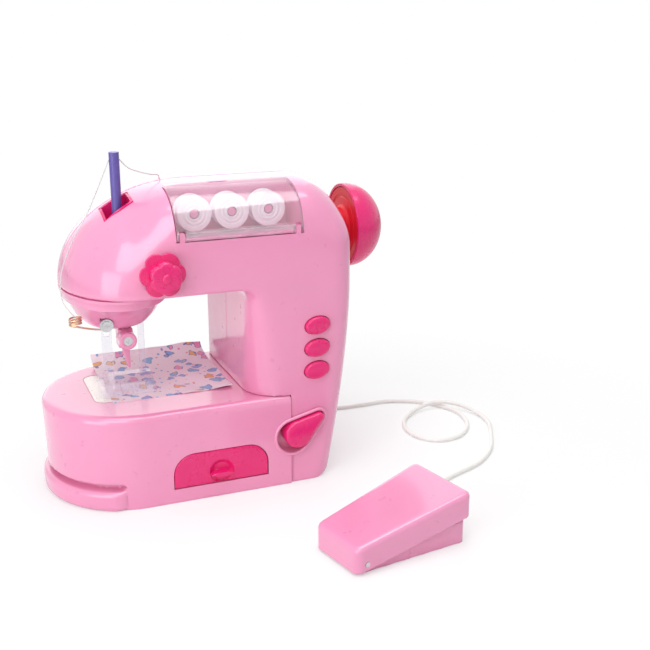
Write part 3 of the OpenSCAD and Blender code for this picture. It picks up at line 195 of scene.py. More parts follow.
def net_surface(shape: Field, low: Sequence[float], high: Sequence[float], step: float) -> tuple[Array, Array]:
    """Skins the zero level of a field: one point in each grid cell that the level crosses.

    A point is the mean of the crossings on its cell's twelve edges, drawn onto the level by three Newton steps
    along the field's slope. Each crossed edge of the grid gives one quad of the four points around it.

    Args:
        shape: Field, negative inside.
        low: Lowest corner of the grid.
        high: Highest corner of the grid.
        step: Grid spacing.

    Returns:
        Points, and quads that face outwards.
    """
    axes = [np.arange(a, b + step, step) for a, b in zip(low, high)]
    values = shape(*np.meshgrid(*axes, indexing="ij"))
    inside = values < 0.0
    cells = tuple(n - 1 for n in values.shape)
    total, count = np.zeros(cells + (3,)), np.zeros(cells)
    origin = np.array([a[0] for a in axes])
    edges = []
    for axis in range(3):
        near = [slice(None)] * 3
        far = [slice(None)] * 3
        near[axis], far[axis] = slice(None, -1), slice(1, None)
        a, b = values[tuple(near)], values[tuple(far)]
        crossed = inside[tuple(near)] != inside[tuple(far)]
        share = np.where(crossed, a / np.where(crossed, a - b, 1.0), 0.0)
        edges.append((crossed, inside[tuple(near)]))
        others = [k for k in range(3) if k != axis]
        for i in (0, 1):
            for j in (0, 1):
                part = [slice(None)] * 3
                part[others[0]] = slice(i, cells[others[0]] + i)
                part[others[1]] = slice(j, cells[others[1]] + j)
                hit = crossed[tuple(part)]
                total[..., axis] += np.where(hit, share[tuple(part)], 0.0)
                total[..., others[0]] += np.where(hit, float(i), 0.0)
                total[..., others[1]] += np.where(hit, float(j), 0.0)
                count += hit
    live = count > 0
    index = np.full(cells, -1)
    index[live] = np.arange(int(live.sum()))
    corner_at = np.argwhere(live)
    points = origin + step * (corner_at + total[live] / count[live][:, None])
    quads = []
    for axis, (crossed, start_inside) in enumerate(edges):
        one, two = (axis + 1) % 3, (axis + 2) % 3
        at = np.argwhere(crossed)
        keep = (at[:, one] > 0) & (at[:, two] > 0) & (at[:, one] < cells[one]) & (at[:, two] < cells[two])
        at = at[keep]
        flip = ~start_inside[tuple(at.T)]
        ring = []
        for i, j in ((1, 1), (0, 1), (0, 0), (1, 0)):
            cell = at.copy()
            cell[:, one] -= i
            cell[:, two] -= j
            ring.append(index[tuple(cell.T)])
        quad = np.stack(ring, 1)
        quad[flip] = quad[flip][:, ::-1]
        quads.append(quad)
    for _ in range(3):
        points = drawn_onto(shape, points, step)
    return points, np.concatenate(quads)


def drawn_onto(shape: Field, points: Array, step: float) -> Array:
    """Moves points one Newton step onto a field's zero level, by at most half a grid step.

    Args:
        shape: Field, negative inside.
        points: Points to move.
        step: Grid spacing.

    Returns:
        The moved points.
    """
    reach = 0.05 * step
    value = shape(*points.T)
    slope = np.stack([shape(*(points + reach * unit).T) - shape(*(points - reach * unit).T)
                      for unit in np.eye(3)], 1) / (2.0 * reach)
    move = -value[:, None] * slope / np.maximum((slope * slope).sum(1), 1e-6)[:, None]
    far = np.maximum(np.linalg.norm(move, axis=1) / (0.5 * step), 1.0)
    return points + move / far[:, None]


def evened(shape: Field, reach: float = 0.15) -> Field:
    """Divides a field by the length of its slope, so that values near the surface are true distances.

    Args:
        shape: Field, negative inside.
        reach: Half step of the central differences.

    Returns:
        The evened field.
    """
    def field_of(x: Array, y: Array, z: Array) -> Array:
        """Evened signed distance.

        Args:
            x: Places along the first axis.
            y: Places along the second axis.
            z: Heights.

        Returns:
            Distances, negative inside.
        """
        slope = np.sqrt((shape(x + reach, y, z) - shape(x - reach, y, z)) ** 2
                        + (shape(x, y + reach, z) - shape(x, y - reach, z)) ** 2
                        + (shape(x, y, z + reach) - shape(x, y, z - reach)) ** 2) / (2.0 * reach)
        return shape(x, y, z) / np.clip(slope, 0.35, 6.0)
    return field_of


def grid_quads(rows: int, columns: int, wrap_rows: bool = False, wrap_columns: bool = False) -> Array:
    """Quads of a grid of points, numbered row by row.

    Args:
        rows: Number of rows.
        columns: Points in a row.
        wrap_rows: Joins the last row to the first.
        wrap_columns: Joins the last column to the first.

    Returns:
        Array of quads.
    """
    i = np.arange(rows if wrap_rows else rows - 1)[:, None]
    j = np.arange(columns if wrap_columns else columns - 1)[None, :]
    i2, j2 = (i + 1) % rows, (j + 1) % columns
    return np.stack([i * columns + j, i * columns + j2, i2 * columns + j2, i2 * columns + j], -1).reshape(-1, 4)


def make_piece(name: str, points: Array, faces: Array | list, finish: "Finish",
               sharp: float = 35.0) -> bpy.types.Object:
    """Makes a mesh object at the origin from points in millimetres.

    Args:
        name: Piece name.
        points: Points in the model's frame.
        faces: Quads, triangles or lists of corners.
        finish: Finish that dresses it.
        sharp: Angle in degrees above which an edge stays sharp.

    Returns:
        The new object.
    """
    mesh = bpy.data.meshes.new(name)
    rows = faces.tolist() if isinstance(faces, np.ndarray) else [list(f) for f in faces]
    mesh.from_pydata((np.asarray(points, float) * MM).tolist(), [], rows)
    mesh.validate()
    mesh.polygons.foreach_set("use_smooth", np.ones(len(mesh.polygons), bool))
    mesh.set_sharp_from_angle(angle=math.radians(sharp))
    mesh.materials.append(finish.material())
    piece = bpy.data.objects.new(name, mesh)
    bpy.context.scene.collection.objects.link(piece)
    return piece


def settle(piece: bpy.types.Object, sharp: float = 35.0) -> bpy.types.Object:
    """Applies a piece's modifiers to its mesh and marks its sharp edges again.

    Args:
        piece: Object with modifiers.
        sharp: Angle in degrees above which an edge stays sharp.

    Returns:
        The same object.
    """
    graph = bpy.context.evaluated_depsgraph_get()
    mesh = bpy.data.meshes.new_from_object(piece.evaluated_get(graph))
    old = piece.data
    piece.modifiers.clear()
    piece.data = mesh
    bpy.data.meshes.remove(old)
    mesh.polygons.foreach_set("use_smooth", np.ones(len(mesh.polygons), bool))
    mesh.set_sharp_from_angle(angle=math.radians(sharp))
    return piece


def cut_away(piece: bpy.types.Object, solids: Sequence[tuple[Array, Array]], finish: "Finish") -> bpy.types.Object:
    """Cuts closed solids, clear of each other, out of a piece with one exact boolean.

    Args:
        piece: Object to cut.
        solids: Points and faces of each closed solid.
        finish: Finish that the cutter carries, the piece's own.

    Returns:
        The cut object.
    """
    tool = make_piece(piece.name + "_cutter", *joined(*solids), finish)
    change = piece.modifiers.new("cut", "BOOLEAN")
    change.operation = "DIFFERENCE"
    change.solver = "EXACT"
    change.object = tool
    bpy.context.view_layer.update()
    settle(piece)
    bpy.data.objects.remove(tool)
    return piece


def prism(outline: Array, start: float, end: float, axis: Axis) -> tuple[Array, list]:
    """Closed solid: a flat outline carried straight along an axis.

    Args:
        outline: Points on the other two axes, in their order.
        start: Place of the first end.
        end: Place of the second end.
        axis: Axis that it runs along.

    Returns:
        Points and faces, turned to face outwards.
    """
    n = len(outline)
    others = [k for k in range(3) if k != axis]
    points = np.zeros((2 * n, 3))
    points[:, others] = np.concatenate([outline, outline])
    points[:n, axis], points[n:, axis] = start, end
    nxt = np.roll(outline, -1, 0)
    turn = float((outline[:, 0] * nxt[:, 1] - nxt[:, 0] * outline[:, 1]).sum())
    forward = (turn > 0) != (axis == Axis.Y)
    sides = [[i, (i + 1) % n, n + (i + 1) % n, n + i] for i in range(n)]
    faces = sides + [list(range(n))[::-1], list(range(n, 2 * n))]
    return points, faces if forward else [f[::-1] for f in faces]


def arc(centre: Sequence[float], radii: Sequence[float], start: float, end: float, count: int) -> Array:
    """Points on an elliptic arc, from one angle in degrees to another, both ends included."""
    turn = np.radians(np.linspace(start, end, count))
    return np.stack([centre[0] + radii[0] * np.cos(turn), centre[1] + radii[1] * np.sin(turn)], 1)


def oval(centre: Sequence[float], radii: Sequence[float], count: int, tilt: float = 0.0) -> Array:
    """Points round an ellipse that is turned by a tilt, without repeating the first.

    Args:
        centre: Middle of the ellipse.
        radii: Its two half axes.
        count: Number of points.
        tilt: Turn in degrees.

    Returns:
        Points in order, counter-clockwise.
    """
    turn = np.radians(np.arange(count) * 360.0 / count)
    flat = np.stack([radii[0] * np.cos(turn), radii[1] * np.sin(turn)], 1)
    lean = math.radians(tilt)
    spin = np.array([[math.cos(lean), math.sin(lean)], [-math.sin(lean), math.cos(lean)]])
    return flat @ spin + np.asarray(centre, float)


def rectangle(x0: float, x1: float, y0: float, y1: float) -> Array:
    """Corners of a rectangle, counter-clockwise."""
    return np.array([[x0, y0], [x1, y0], [x1, y1], [x0, y1]], float)


def rounded_rectangle(x0: float, x1: float, y0: float, y1: float, radius: float, count: int = 6) -> Array:
    """Rectangle whose four corners are quarter circles.

    Args:
        x0: Left side.
        x1: Right side.
        y0: Lower side.
        y1: Upper side.
        radius: Radius of the corners.
        count: Points on each corner.

    Returns:
        Points counter-clockwise from the lower right.
    """
    size = (radius, radius)
    return np.concatenate([
        arc((x1 - radius, y0 + radius), size, -90, 0, count), arc((x1 - radius, y1 - radius), size, 0, 90, count),
        arc((x0 + radius, y1 - radius), size, 90, 180, count), arc((x0 + radius, y0 + radius), size, 180, 270, count)])


def stacked(outlines: Sequence[Array], heights: Sequence[float], axis: Axis) -> tuple[Array, list]:
    """Closed skin through a stack of like outlines, with flat ends.

    Args:
        outlines: Counter-clockwise outlines with the same number of points.
        heights: Place of each along the axis, rising.
        axis: Axis that it runs along.

    Returns:
        Points and faces that face outwards.
    """
    rows, n = len(outlines), len(outlines[0])
    others = [k for k in range(3) if k != axis]
    points = np.zeros((rows * n, 3))
    points[:, others] = np.concatenate(outlines)
    points[:, axis] = np.repeat(np.asarray(heights, float), n)
    faces = grid_quads(rows, n, wrap_columns=True).tolist()
    faces += [list(range(n))[::-1], list(range((rows - 1) * n, rows * n))]
    return points, [f[::-1] for f in faces] if axis == Axis.Y else faces


def turned(profile: Array, count: int = 64, axis: Axis = Axis.Z,
           at: Sequence[float] = (0.0, 0.0, 0.0)) -> tuple[Array, Array]:
    """Surface of revolution: a profile of radius and height carried round an axis.

    Args:
        profile: Rows of radius and height; a closed solid starts and ends on the axis.
        count: Steps round.
        axis: Axis that it runs along.
        at: Place of the axis and of height zero.

    Returns:
        Points and quads; a profile that runs from the bottom outwards to the top faces outwards.
    """
    turn = np.linspace(0.0, 2.0 * math.pi, count, endpoint=False)
    radius = np.maximum(profile[:, 0], 1e-4)
    one, two = (axis + 1) % 3, (axis + 2) % 3
    points = np.zeros((len(profile), count, 3))
    points[..., one] = radius[:, None] * np.cos(turn)
    points[..., two] = radius[:, None] * np.sin(turn)
    points[..., axis] = profile[:, 1][:, None]
    return points.reshape(-1, 3) + np.asarray(at, float), grid_quads(len(profile), count, wrap_columns=True)


def swept(path: Array, radius: float | Array, sides: int = 12, closed: bool = False) -> tuple[Array, list]:
    """Round tube along a path: a circle in the plane of two carried normals at each point.

    Args:
        path: Points of the centre line.
        radius: One radius, or one for each point.
        sides: Sides of the tube.
        closed: Joins the last ring to the first instead of capping the ends.

    Returns:
        Points and faces.
    """
    ahead = np.roll(path, -1, 0) - np.roll(path, 1, 0)
    if not closed:
        ahead[0], ahead[-1] = path[1] - path[0], path[-1] - path[-2]
    ahead = ahead / np.maximum(np.linalg.norm(ahead, axis=1, keepdims=True), 1e-9)
    spread = np.ptp(path, axis=0)
    across = np.cross(ahead, np.eye(3)[int(np.argmin(spread))])
    across = across / np.maximum(np.linalg.norm(across, axis=1, keepdims=True), 1e-9)
    upward = np.cross(ahead, across)
    turn = np.linspace(0.0, 2.0 * math.pi, sides, endpoint=False)
    reach = np.broadcast_to(np.asarray(radius, float), (len(path),))[:, None, None]
    ring = across[:, None, :] * np.cos(turn)[None, :, None] + upward[:, None, :] * np.sin(turn)[None, :, None]
    points = (path[:, None, :] + reach * ring).reshape(-1, 3)
    faces = grid_quads(len(path), sides, wrap_rows=closed, wrap_columns=True)[:, ::-1].tolist()
    if not closed:
        last = (len(path) - 1) * sides
        faces += [list(range(sides)), list(range(last, last + sides))[::-1]]
    return points, faces


def eased_path(points: Sequence[Sequence[float]], steps: int) -> Array:
    """Curve through points: between two of them, a cubic whose slopes are half the chords of the neighbours.

    Args:
        points: Points to pass through.
        steps: Steps in each stretch.

    Returns:
        Points of the curve, the last one included.
    """
    p = np.asarray(points, float)
    last = len(p) - 1
    at = np.arange(last)
    a, b, c, d = (p[np.clip(at + shift, 0, last)][:, None, :] for shift in (-1, 0, 1, 2))
    t = np.linspace(0.0, 1.0, steps, endpoint=False)[None, :, None]
    curve = 0.5 * (2 * b + (c - a) * t + (2 * a - 5 * b + 4 * c - d) * t**2 + (3 * b - a - 3 * c + d) * t**3)
    return np.concatenate([curve.reshape(-1, 3), p[-1:]])


def joined(*solids: tuple[Array, Array | list]) -> tuple[Array, list]:
    """Puts several meshes of one piece into one list of points and one of faces.

    Args:
        solids: Points and faces of each mesh.

    Returns:
        All points, and all faces with their corners numbered anew.
    """
    points, faces, base = [], [], 0
    for some, corners in solids:
        points.append(np.asarray(some, float))
        faces += [[int(c) + base for c in f] for f in corners]
        base += len(some)
    return np.concatenate(points), faces


def fit_out(piece: bpy.types.Object, body: Body | str, slot: str, *nodes: str) -> bpy.types.Object:
    """Rides a piece on its body, hides the solids that it stands for, and logs it.

    Args:
        piece: Object to fit out.
        body: Body that carries it.
        slot: Material slot of the record; not used.
        nodes: Solids that it stands for, if any.

    Returns:
        The same object.
    """
    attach(piece, body.value if isinstance(body, Body) else body)
    if nodes:
        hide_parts(*nodes)
    LOG.info("%s: %d faces", piece.name, len(piece.data.polygons) if piece.type == "MESH" else 0)
    return piece


class Shader:
    """Short way to add and link the nodes of one material."""

    def __init__(self, name: str) -> None:
        """Starts a material with an empty tree and an output.

        Args:
            name: Material name.
        """
        self.material = bpy.data.materials.new(name)
        self.material.use_nodes = True
        self.tree = self.material.node_tree
        self.tree.nodes.clear()
        self.out = self.tree.nodes.new("ShaderNodeOutputMaterial")
        self.place = self.tree.nodes.new("ShaderNodeTexCoord").outputs["Object"]

    def add(self, kind: str, **sockets: object) -> bpy.types.Node:
        """Adds a node and sets or links its inputs.

        Args:
            kind: Node type, without its common prefix.
            sockets: Input name, with _ for a space, and its constant or the socket that feeds it.

        Returns:
            The new node.
        """
        node = self.tree.nodes.new("ShaderNode" + kind)
        for key, value in sockets.items():
            socket = node.inputs[key.replace("_", " ")]
            if isinstance(value, bpy.types.NodeSocket):
                self.tree.links.new(value, socket)
            else:
                socket.default_value = value
        return node

    def noise(self, scale: float, detail: float = 3.0, rough: float = 0.5,
              place: bpy.types.NodeSocket | None = None) -> bpy.types.NodeSocket:
        """Noise in the object's own coordinates, as a value about one half."""
        vector = self.place if place is None else place
        return self.add("TexNoise", Vector=vector, Scale=scale, Detail=detail, Roughness=rough).outputs["Fac"]

    def ramp(self, value: bpy.types.NodeSocket, stops: Sequence[tuple[float, Sequence[float]]],
             blend: str = "LINEAR") -> bpy.types.NodeSocket:
        """Maps a value to colours.

        Args:
            value: Socket that feeds the ramp.
            stops: Places and linear colours.
            blend: How one colour goes over into the next.

        Returns:
            The colour socket.
        """
        node = self.add("ValToRGB", Fac=value)
        node.color_ramp.interpolation = blend
        marks = node.color_ramp.elements
        while len(marks) < len(stops):
            marks.new(1.0)
        for mark, (at, colour) in zip(marks, stops):
            mark.position = at
            mark.color = (*colour[:3], 1.0)
        return node.outputs["Color"]

    def remap(self, value: bpy.types.NodeSocket, low: float, high: float,
              start: float = 0.3, end: float = 0.7) -> bpy.types.NodeSocket:
        """Carries a value from the span start..end to the span low..high."""
        node = self.add("MapRange", Value=value, From_Min=start, From_Max=end, To_Min=low, To_Max=high)
        return node.outputs["Result"]

    def bump(self, height: bpy.types.NodeSocket, strength: float, distance: float) -> bpy.types.NodeSocket:
        """Normal that a height tilts."""
        return self.add("Bump", Height=height, Strength=strength, Distance=distance).outputs["Normal"]

    def combine(self, kind: str, operation: str, first: bpy.types.NodeSocket, second: object) -> bpy.types.Node:
        """Adds a math node of two inputs.

        Args:
            kind: Math or VectorMath.
            operation: What it does.
            first: Socket that feeds the first input.
            second: Socket that feeds the second input, or its constant.

        Returns:
            The new node.
        """
        node = self.add(kind)
        node.operation = operation
        self.tree.links.new(first, node.inputs[0])
        if isinstance(second, bpy.types.NodeSocket):
            self.tree.links.new(second, node.inputs[1])
        else:
            node.inputs[1].default_value = second
        return node

    def layered(self, share: bpy.types.NodeSocket, under: bpy.types.NodeSocket,
                over: bpy.types.NodeSocket) -> bpy.types.NodeSocket:
        """Mixes two surfaces by a share of the second.

        Args:
            share: Share of the second surface.
            under: First surface.
            over: Second surface.

        Returns:
            The mixed surface.
        """
        node = self.add("MixShader", Fac=share)
        self.tree.links.new(under, node.inputs[1])
        self.tree.links.new(over, node.inputs[2])
        return node.outputs["Shader"]

    def inked(self, share: bpy.types.NodeSocket, under: bpy.types.NodeSocket, over: object) -> bpy.types.NodeSocket:
        """Mixes two colours by a share of the second.

        Args:
            share: Share of the second colour.
            under: First colour.
            over: Second colour, a socket or a constant.

        Returns:
            The mixed colour.
        """
        node = self.add("Mix")
        node.data_type = "RGBA"
        self.tree.links.new(share, node.inputs[0])
        self.tree.links.new(under, node.inputs[6])
        if isinstance(over, bpy.types.NodeSocket):
            self.tree.links.new(over, node.inputs[7])
        else:
            node.inputs[7].default_value = over
        return node.outputs[2]

    def stretched(self, scale: Sequence[float]) -> bpy.types.NodeSocket:
        """Object coordinates scaled by one factor for each axis."""
        return self.add("Mapping", Vector=self.place, Scale=tuple(scale)).outputs["Vector"]

    def done(self, surface: bpy.types.NodeSocket) -> bpy.types.Material:
        """Links the surface to the output and returns the material."""
        self.tree.links.new(surface, self.out.inputs["Surface"])
        return self.material


def linear(red: float, green: float, blue: float) -> tuple[float, float, float]:
    """Linear colour from display values.

    Args:
        red: Red from 0 to 255.
        green: Green from 0 to 255.
        blue: Blue from 0 to 255.

    Returns:
        Linear shares from 0 to 1.
    """
    shares = np.array([red, green, blue]) / 255.0
    out = np.where(shares <= 0.04045, shares / 12.92, ((shares + 0.055) / 1.055) ** 2.4)
    return tuple(float(v) for v in out)


def shade(colour: Sequence[float], factor: float) -> tuple[float, float, float]:
    """Colour made darker or lighter by a factor, kept below 1."""
    return tuple(min(float(c) * factor, 1.0) for c in colour[:3])


@dataclass(frozen=True)
class Finish:
    """What a surface is made of; a subclass builds its material once."""

    name: str

    @property
    def label(self) -> str:
        """Name of the built material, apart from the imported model's own slot names."""
        return self.name + "_finish"

    def material(self) -> bpy.types.Material:
        """Returns the material of this finish, built at the first call."""
        return bpy.data.materials.get(self.label) or self.build()

    def build(self) -> bpy.types.Material:
        """Builds the material; each finish has its own way."""
        raise NotImplementedError


@dataclass(frozen=True)
class Plastic(Finish):
    """Moulded plastic: faint flow marks in the colour, uneven gloss and a fine moulded texture."""

    colour: tuple[float, float, float] = (0.8, 0.8, 0.8)
    rough: float = 0.3
    depth: float = 0.12
    mottle: float = 0.03
    grain: float = 0.06
    coat: float = 0.0

    def build(self) -> bpy.types.Material:
        """Mixes two close shades by slow noise, and tilts the normal by fine noise and long sink marks.

        Returns:
            The new material.
        """
        s = Shader(self.label)
        drift = s.noise(22.0, 4.0, 0.6)
        pale, dark = shade(self.colour, 1.0 + self.mottle), shade(self.colour, 1.0 - self.mottle)
        colour = s.ramp(drift, [(0.3, dark), (0.7, pale)])
        gloss = s.remap(s.noise(140.0, 5.0, 0.65), self.rough - 0.035, self.rough + 0.05)
        fine = s.bump(s.noise(2200.0, 2.0), self.grain, 0.00005)
        sink = s.add("Bump", Height=s.noise(34.0, 2.0), Strength=0.05, Distance=0.0005, Normal=fine).outputs["Normal"]
        body = s.add("BsdfPrincipled", Base_Color=colour, Roughness=gloss, Normal=sink, IOR=1.49,
                     Subsurface_Weight=self.depth, Subsurface_Radius=(0.006, 0.003, 0.003), Subsurface_Scale=0.4,
                     Coat_Weight=self.coat, Coat_Roughness=0.12)
        return s.done(body.outputs["BSDF"])


@dataclass(frozen=True)
class ClearPlastic(Finish):
    """Thin clear plastic: lets light straight through, mirrors at a slant, and is cloudy where scratched."""

    tint: tuple[float, float, float] = (0.95, 0.94, 0.97)
    haze: float = 0.06
    mirror: float = 0.05

    def build(self) -> bpy.types.Material:
        """Mixes a tinted see-through surface, a thin milky layer and a sharp gloss by the slant of the surface.

        Returns:
            The new material.
        """
        s = Shader(self.label)
        fine = s.bump(s.noise(420.0, 3.0), 0.05, 0.0006)
        marks = s.noise(1.0, 6.0, 0.7, s.stretched((900.0, 260.0, 260.0)))
        through = s.add("BsdfTransparent", Color=(*self.tint, 1.0)).outputs["BSDF"]
        milk = s.add("BsdfDiffuse", Color=(0.97, 0.93, 0.96, 1.0), Normal=fine).outputs["BSDF"]
        rim = s.add("LayerWeight", Blend=0.32, Normal=fine).outputs["Facing"]
        cloud = s.remap(marks, self.haze * 0.6, self.haze * 1.5)
        edge = s.remap(rim, 0.0, 0.24, 0.45, 1.0)
        veil = s.combine("Math", "ADD", cloud, edge).outputs["Value"]
        clear = s.layered(veil, through, milk)
        gloss = s.add("BsdfGlossy", Color=(1.0, 1.0, 1.0, 1.0), Roughness=0.05, Normal=fine).outputs["BSDF"]
        facing = s.add("LayerWeight", Blend=0.5, Normal=fine).outputs["Facing"]
        slant = s.remap(facing, self.mirror, 0.45, 0.55, 1.0)
        return s.done(s.layered(slant, clear, gloss))


@dataclass(frozen=True)
class Metal(Finish):
    """Bare metal: drawn or rolled marks along one axis and an uneven polish."""

    colour: tuple[float, float, float] = (0.7, 0.7, 0.7)
    rough: float = 0.25
    marks: tuple[float, float, float] = (60.0, 1400.0, 1400.0)
    bare: float = 1.0

    def build(self) -> bpy.types.Material:
        """Stretches noise along the marks for the colour, the polish and a shallow relief.

        Returns:
            The new material.
        """
        s = Shader(self.label)
        lines = s.noise(1.0, 4.0, 0.6, s.stretched(self.marks))
        colour = s.ramp(lines, [(0.25, shade(self.colour, 0.86)), (0.75, shade(self.colour, 1.08))])
        gloss = s.remap(s.noise(180.0, 4.0), self.rough - 0.05, self.rough + 0.09)
        relief = s.bump(lines, 0.08, 0.0003)
        body = s.add("BsdfPrincipled", Base_Color=colour, Metallic=self.bare, Roughness=gloss, Normal=relief)
        return s.done(body.outputs["BSDF"])


@dataclass(frozen=True)
class Thread(Finish):
    """Spun thread: slanting plies in the relief and a soft sheen."""

    colour: tuple[float, float, float] = (0.85, 0.84, 0.82)

    def build(self) -> bpy.types.Material:
        """Lays slanting bands for the plies, darkens the grooves between them as painted shade, and adds a sheen.

        Returns:
            The new material.
        """
        s = Shader(self.label)
        bands = s.add("TexWave", Vector=s.stretched((1.0, 1.0, 1.6)), Scale=900.0, Distortion=1.5, Detail=2.0)
        plies = bands.outputs["Fac"]
        # Colour darkens where the ply relief is low: painted shade in the grooves between plies.
        colour = s.ramp(plies, [(0.1, shade(self.colour, 0.8)), (0.8, self.colour)])
        relief = s.bump(plies, 0.5, 0.0002)
        body = s.add("BsdfPrincipled", Base_Color=colour, Roughness=0.7, Normal=relief, Sheen_Weight=0.3)
        return s.done(body.outputs["BSDF"])


@dataclass(frozen=True)
class PrintedCloth(Finish):
    """Woven cotton with a scattered print of small uneven blots in pale colours, each with a fine outline."""

    ground: tuple[float, float, float] = (0.86, 0.84, 0.86)
    inks: tuple[tuple[float, float, float], ...] = ()
    line: tuple[float, float, float] = (0.12, 0.2, 0.52)
    pitch: float = 92.0

    def build(self) -> bpy.types.Material:
        """Gives each cell of a swayed, scattered net one ink, a blot and its outline; weave in the relief.

        Returns:
            The new material.
        """
        s = Shader(self.label)
        warped = s.add("Mapping", Vector=s.place, Scale=(1.0, 1.0, 0.2)).outputs["Vector"]
        sway = s.add("TexNoise", Vector=s.place, Scale=160.0, Detail=1.0).outputs["Color"]
        push = s.add("VectorMath")
        push.operation = "SCALE"
        push.inputs[3].default_value = 0.009
        s.tree.links.new(sway, push.inputs[0])
        bent = s.combine("VectorMath", "ADD", warped, push.outputs["Vector"]).outputs["Vector"]
        base = s.ramp(s.noise(45.0, 4.0), [(0.3, shade(self.ground, 0.95)), (0.7, self.ground)])
        dots = s.add("TexVoronoi", Vector=bent, Scale=self.pitch, Randomness=0.8)
        dots.feature = "F1"
        pick = s.add("SeparateColor", Color=dots.outputs["Color"]).outputs["Red"]
        stops = [(i / len(self.inks), ink) for i, ink in enumerate(self.inks)]
        ink = s.ramp(pick, stops, "CONSTANT")
        blots = s.inked(s.remap(dots.outputs["Distance"], 1.0, 0.0, 0.3, 0.34), base, ink)
        ring = s.ramp(dots.outputs["Distance"], [(0.0, (0, 0, 0)), (0.27, (0, 0, 0)), (0.3, (0.8, 0.8, 0.8)),
                                                 (0.32, (0.8, 0.8, 0.8)), (0.35, (0, 0, 0))])
        lined = s.inked(ring, blots, (*self.line, 1.0))
        specks = s.add("TexVoronoi", Vector=warped, Scale=self.pitch * 2.3, Randomness=1.0)
        tone = s.add("SeparateColor", Color=specks.outputs["Color"]).outputs["Green"]
        paint = s.ramp(tone, [(0.0, self.inks[3]), (0.35, self.inks[1]), (0.7, self.inks[0])])
        colour = s.inked(s.remap(specks.outputs["Distance"], 1.0, 0.0, 0.17, 0.2), lined, paint)
        warp = s.add("TexWave", Vector=s.place, Scale=520.0, Distortion=0.4)
        weft = s.add("TexWave", Vector=s.place, Scale=520.0, Distortion=0.4)
        weft.bands_direction = "Y"
        weave = s.combine("Math", "MAXIMUM", warp.outputs["Fac"], weft.outputs["Fac"])
        relief = s.bump(weave.outputs["Value"], 0.35, 0.00025)
        body = s.add("BsdfPrincipled", Base_Color=colour, Roughness=0.82, Normal=relief, Sheen_Weight=0.25)
        return s.done(body.outputs["BSDF"])


@dataclass(frozen=True)
class Ground(Finish):
    """Pale paper sweep under the object: plain white to the lens, and a diffuse surface that keeps the shadow."""

    colour: tuple[float, float, float] = (0.94, 0.94, 0.94)
    near_white: float = 0.45
    middle: tuple[float, float, float] = (0.06, -0.05, 0.0)

    def build(self) -> bpy.types.Material:
        """Gives nearly even white with a very faint tooth; to the lens, plain white takes over away from the object.

        Returns:
            The new material.
        """
        s = Shader(self.label)
        colour = s.ramp(s.noise(30.0, 3.0), [(0.3, shade(self.colour, 0.995)), (0.7, self.colour)])
        relief = s.bump(s.noise(900.0, 2.0), 0.03, 0.0002)
        body = s.add("BsdfPrincipled", Base_Color=colour, Roughness=0.9, Normal=relief, Specular_IOR_Level=0.1)
        white = s.add("Emission", Color=(1.0, 1.0, 1.0, 1.0), Strength=1.0)
        away = s.combine("VectorMath", "DISTANCE", s.place, self.middle)
        share = s.remap(away.outputs["Value"], self.near_white, 1.0, 0.14, 0.34)
        lens = s.add("LightPath").outputs["Is Camera Ray"]
        weight = s.combine("Math", "MULTIPLY", share, lens).outputs["Value"]
        return s.done(s.layered(weight, body.outputs["BSDF"], white.outputs["Emission"]))


@dataclass(frozen=True)
class CircuitBoard(Finish):
    """Green board with fine copper tracks under the lacquer."""

    colour: tuple[float, float, float] = (0.03, 0.16, 0.06)

    def build(self) -> bpy.types.Material:
        """Draws tracks along the edges of square cells.

        Returns:
            The new material.
        """
        s = Shader(self.label)
        cells = s.add("TexVoronoi", Vector=s.place, Scale=260.0, Randomness=0.6)
        cells.distance = "CHEBYCHEV"
        colour = s.ramp(cells.outputs["Distance"], [(0.35, self.colour), (0.45, shade(self.colour, 1.9))])
        relief = s.bump(cells.outputs["Distance"], 0.1, 0.0002)
        body = s.add("BsdfPrincipled", Base_Color=colour, Roughness=0.35, Normal=relief)
        return s.done(body.outputs["BSDF"])


BODY_PINK = Plastic("body_pink", linear(236, 148, 188), 0.3, 0.0, 0.02, 0.02, 1.0)
HOT_PINK = Plastic("hot_pink", linear(228, 24, 114), 0.28, 0.0, 0.04, 0.015, 0.3)
HUB_RED = Plastic("hub_red", linear(222, 30, 50), 0.34, 0.0, 0.05, 0.06)
ROD_PURPLE = Plastic("rod_purple", linear(100, 88, 166), 0.3, 0.0, 0.05, 0.06)
WHITE_PLASTIC = Plastic("white_plastic", linear(236, 234, 232), 0.34, 0.1, 0.02, 0.05)
BOBBIN_WHITE = Plastic("bobbin_plastic", linear(244, 240, 242), 0.3, 0.15, 0.02, 0.05)
CORD_VINYL = Plastic("cord_vinyl", linear(238, 238, 234), 0.38, 0.1, 0.03, 0.16)
DARK_PLASTIC = Plastic("dark_plastic", linear(52, 50, 54), 0.42, 0.0, 0.08, 0.1)
CLEAR = ClearPlastic("clear_plastic")
COVER_CLEAR = ClearPlastic("cover_clear", (0.985, 0.965, 0.98), 0.06, 0.05)
STEEL = Metal("steel", (0.62, 0.62, 0.64), 0.26)
PLATE_STEEL = Metal("plate_steel", (0.84, 0.8, 0.76), 0.3, (1600.0, 40.0, 900.0), 0.4)
BRASS = Metal("brass_wire", (0.72, 0.46, 0.3), 0.28, (300.0, 300.0, 900.0))
BOARD = CircuitBoard("board_green")
THREAD = Thread("thread")
CLOTH = PrintedCloth("cloth", linear(254, 248, 252), (
    linear(146, 188, 232), linear(244, 168, 202), linear(160, 180, 230), linear(244, 190, 120), linear(150, 200, 234)))
PAPER = Ground("paper")

SLOT_FINISH: dict[str, Finish] = {f.name: f for f in (
    BODY_PINK, HOT_PINK, HUB_RED, ROD_PURPLE, WHITE_PLASTIC, BOBBIN_WHITE, CORD_VINYL, DARK_PLASTIC, CLEAR, STEEL,
    PLATE_STEEL, BRASS, BOARD, THREAD, CLOTH)}


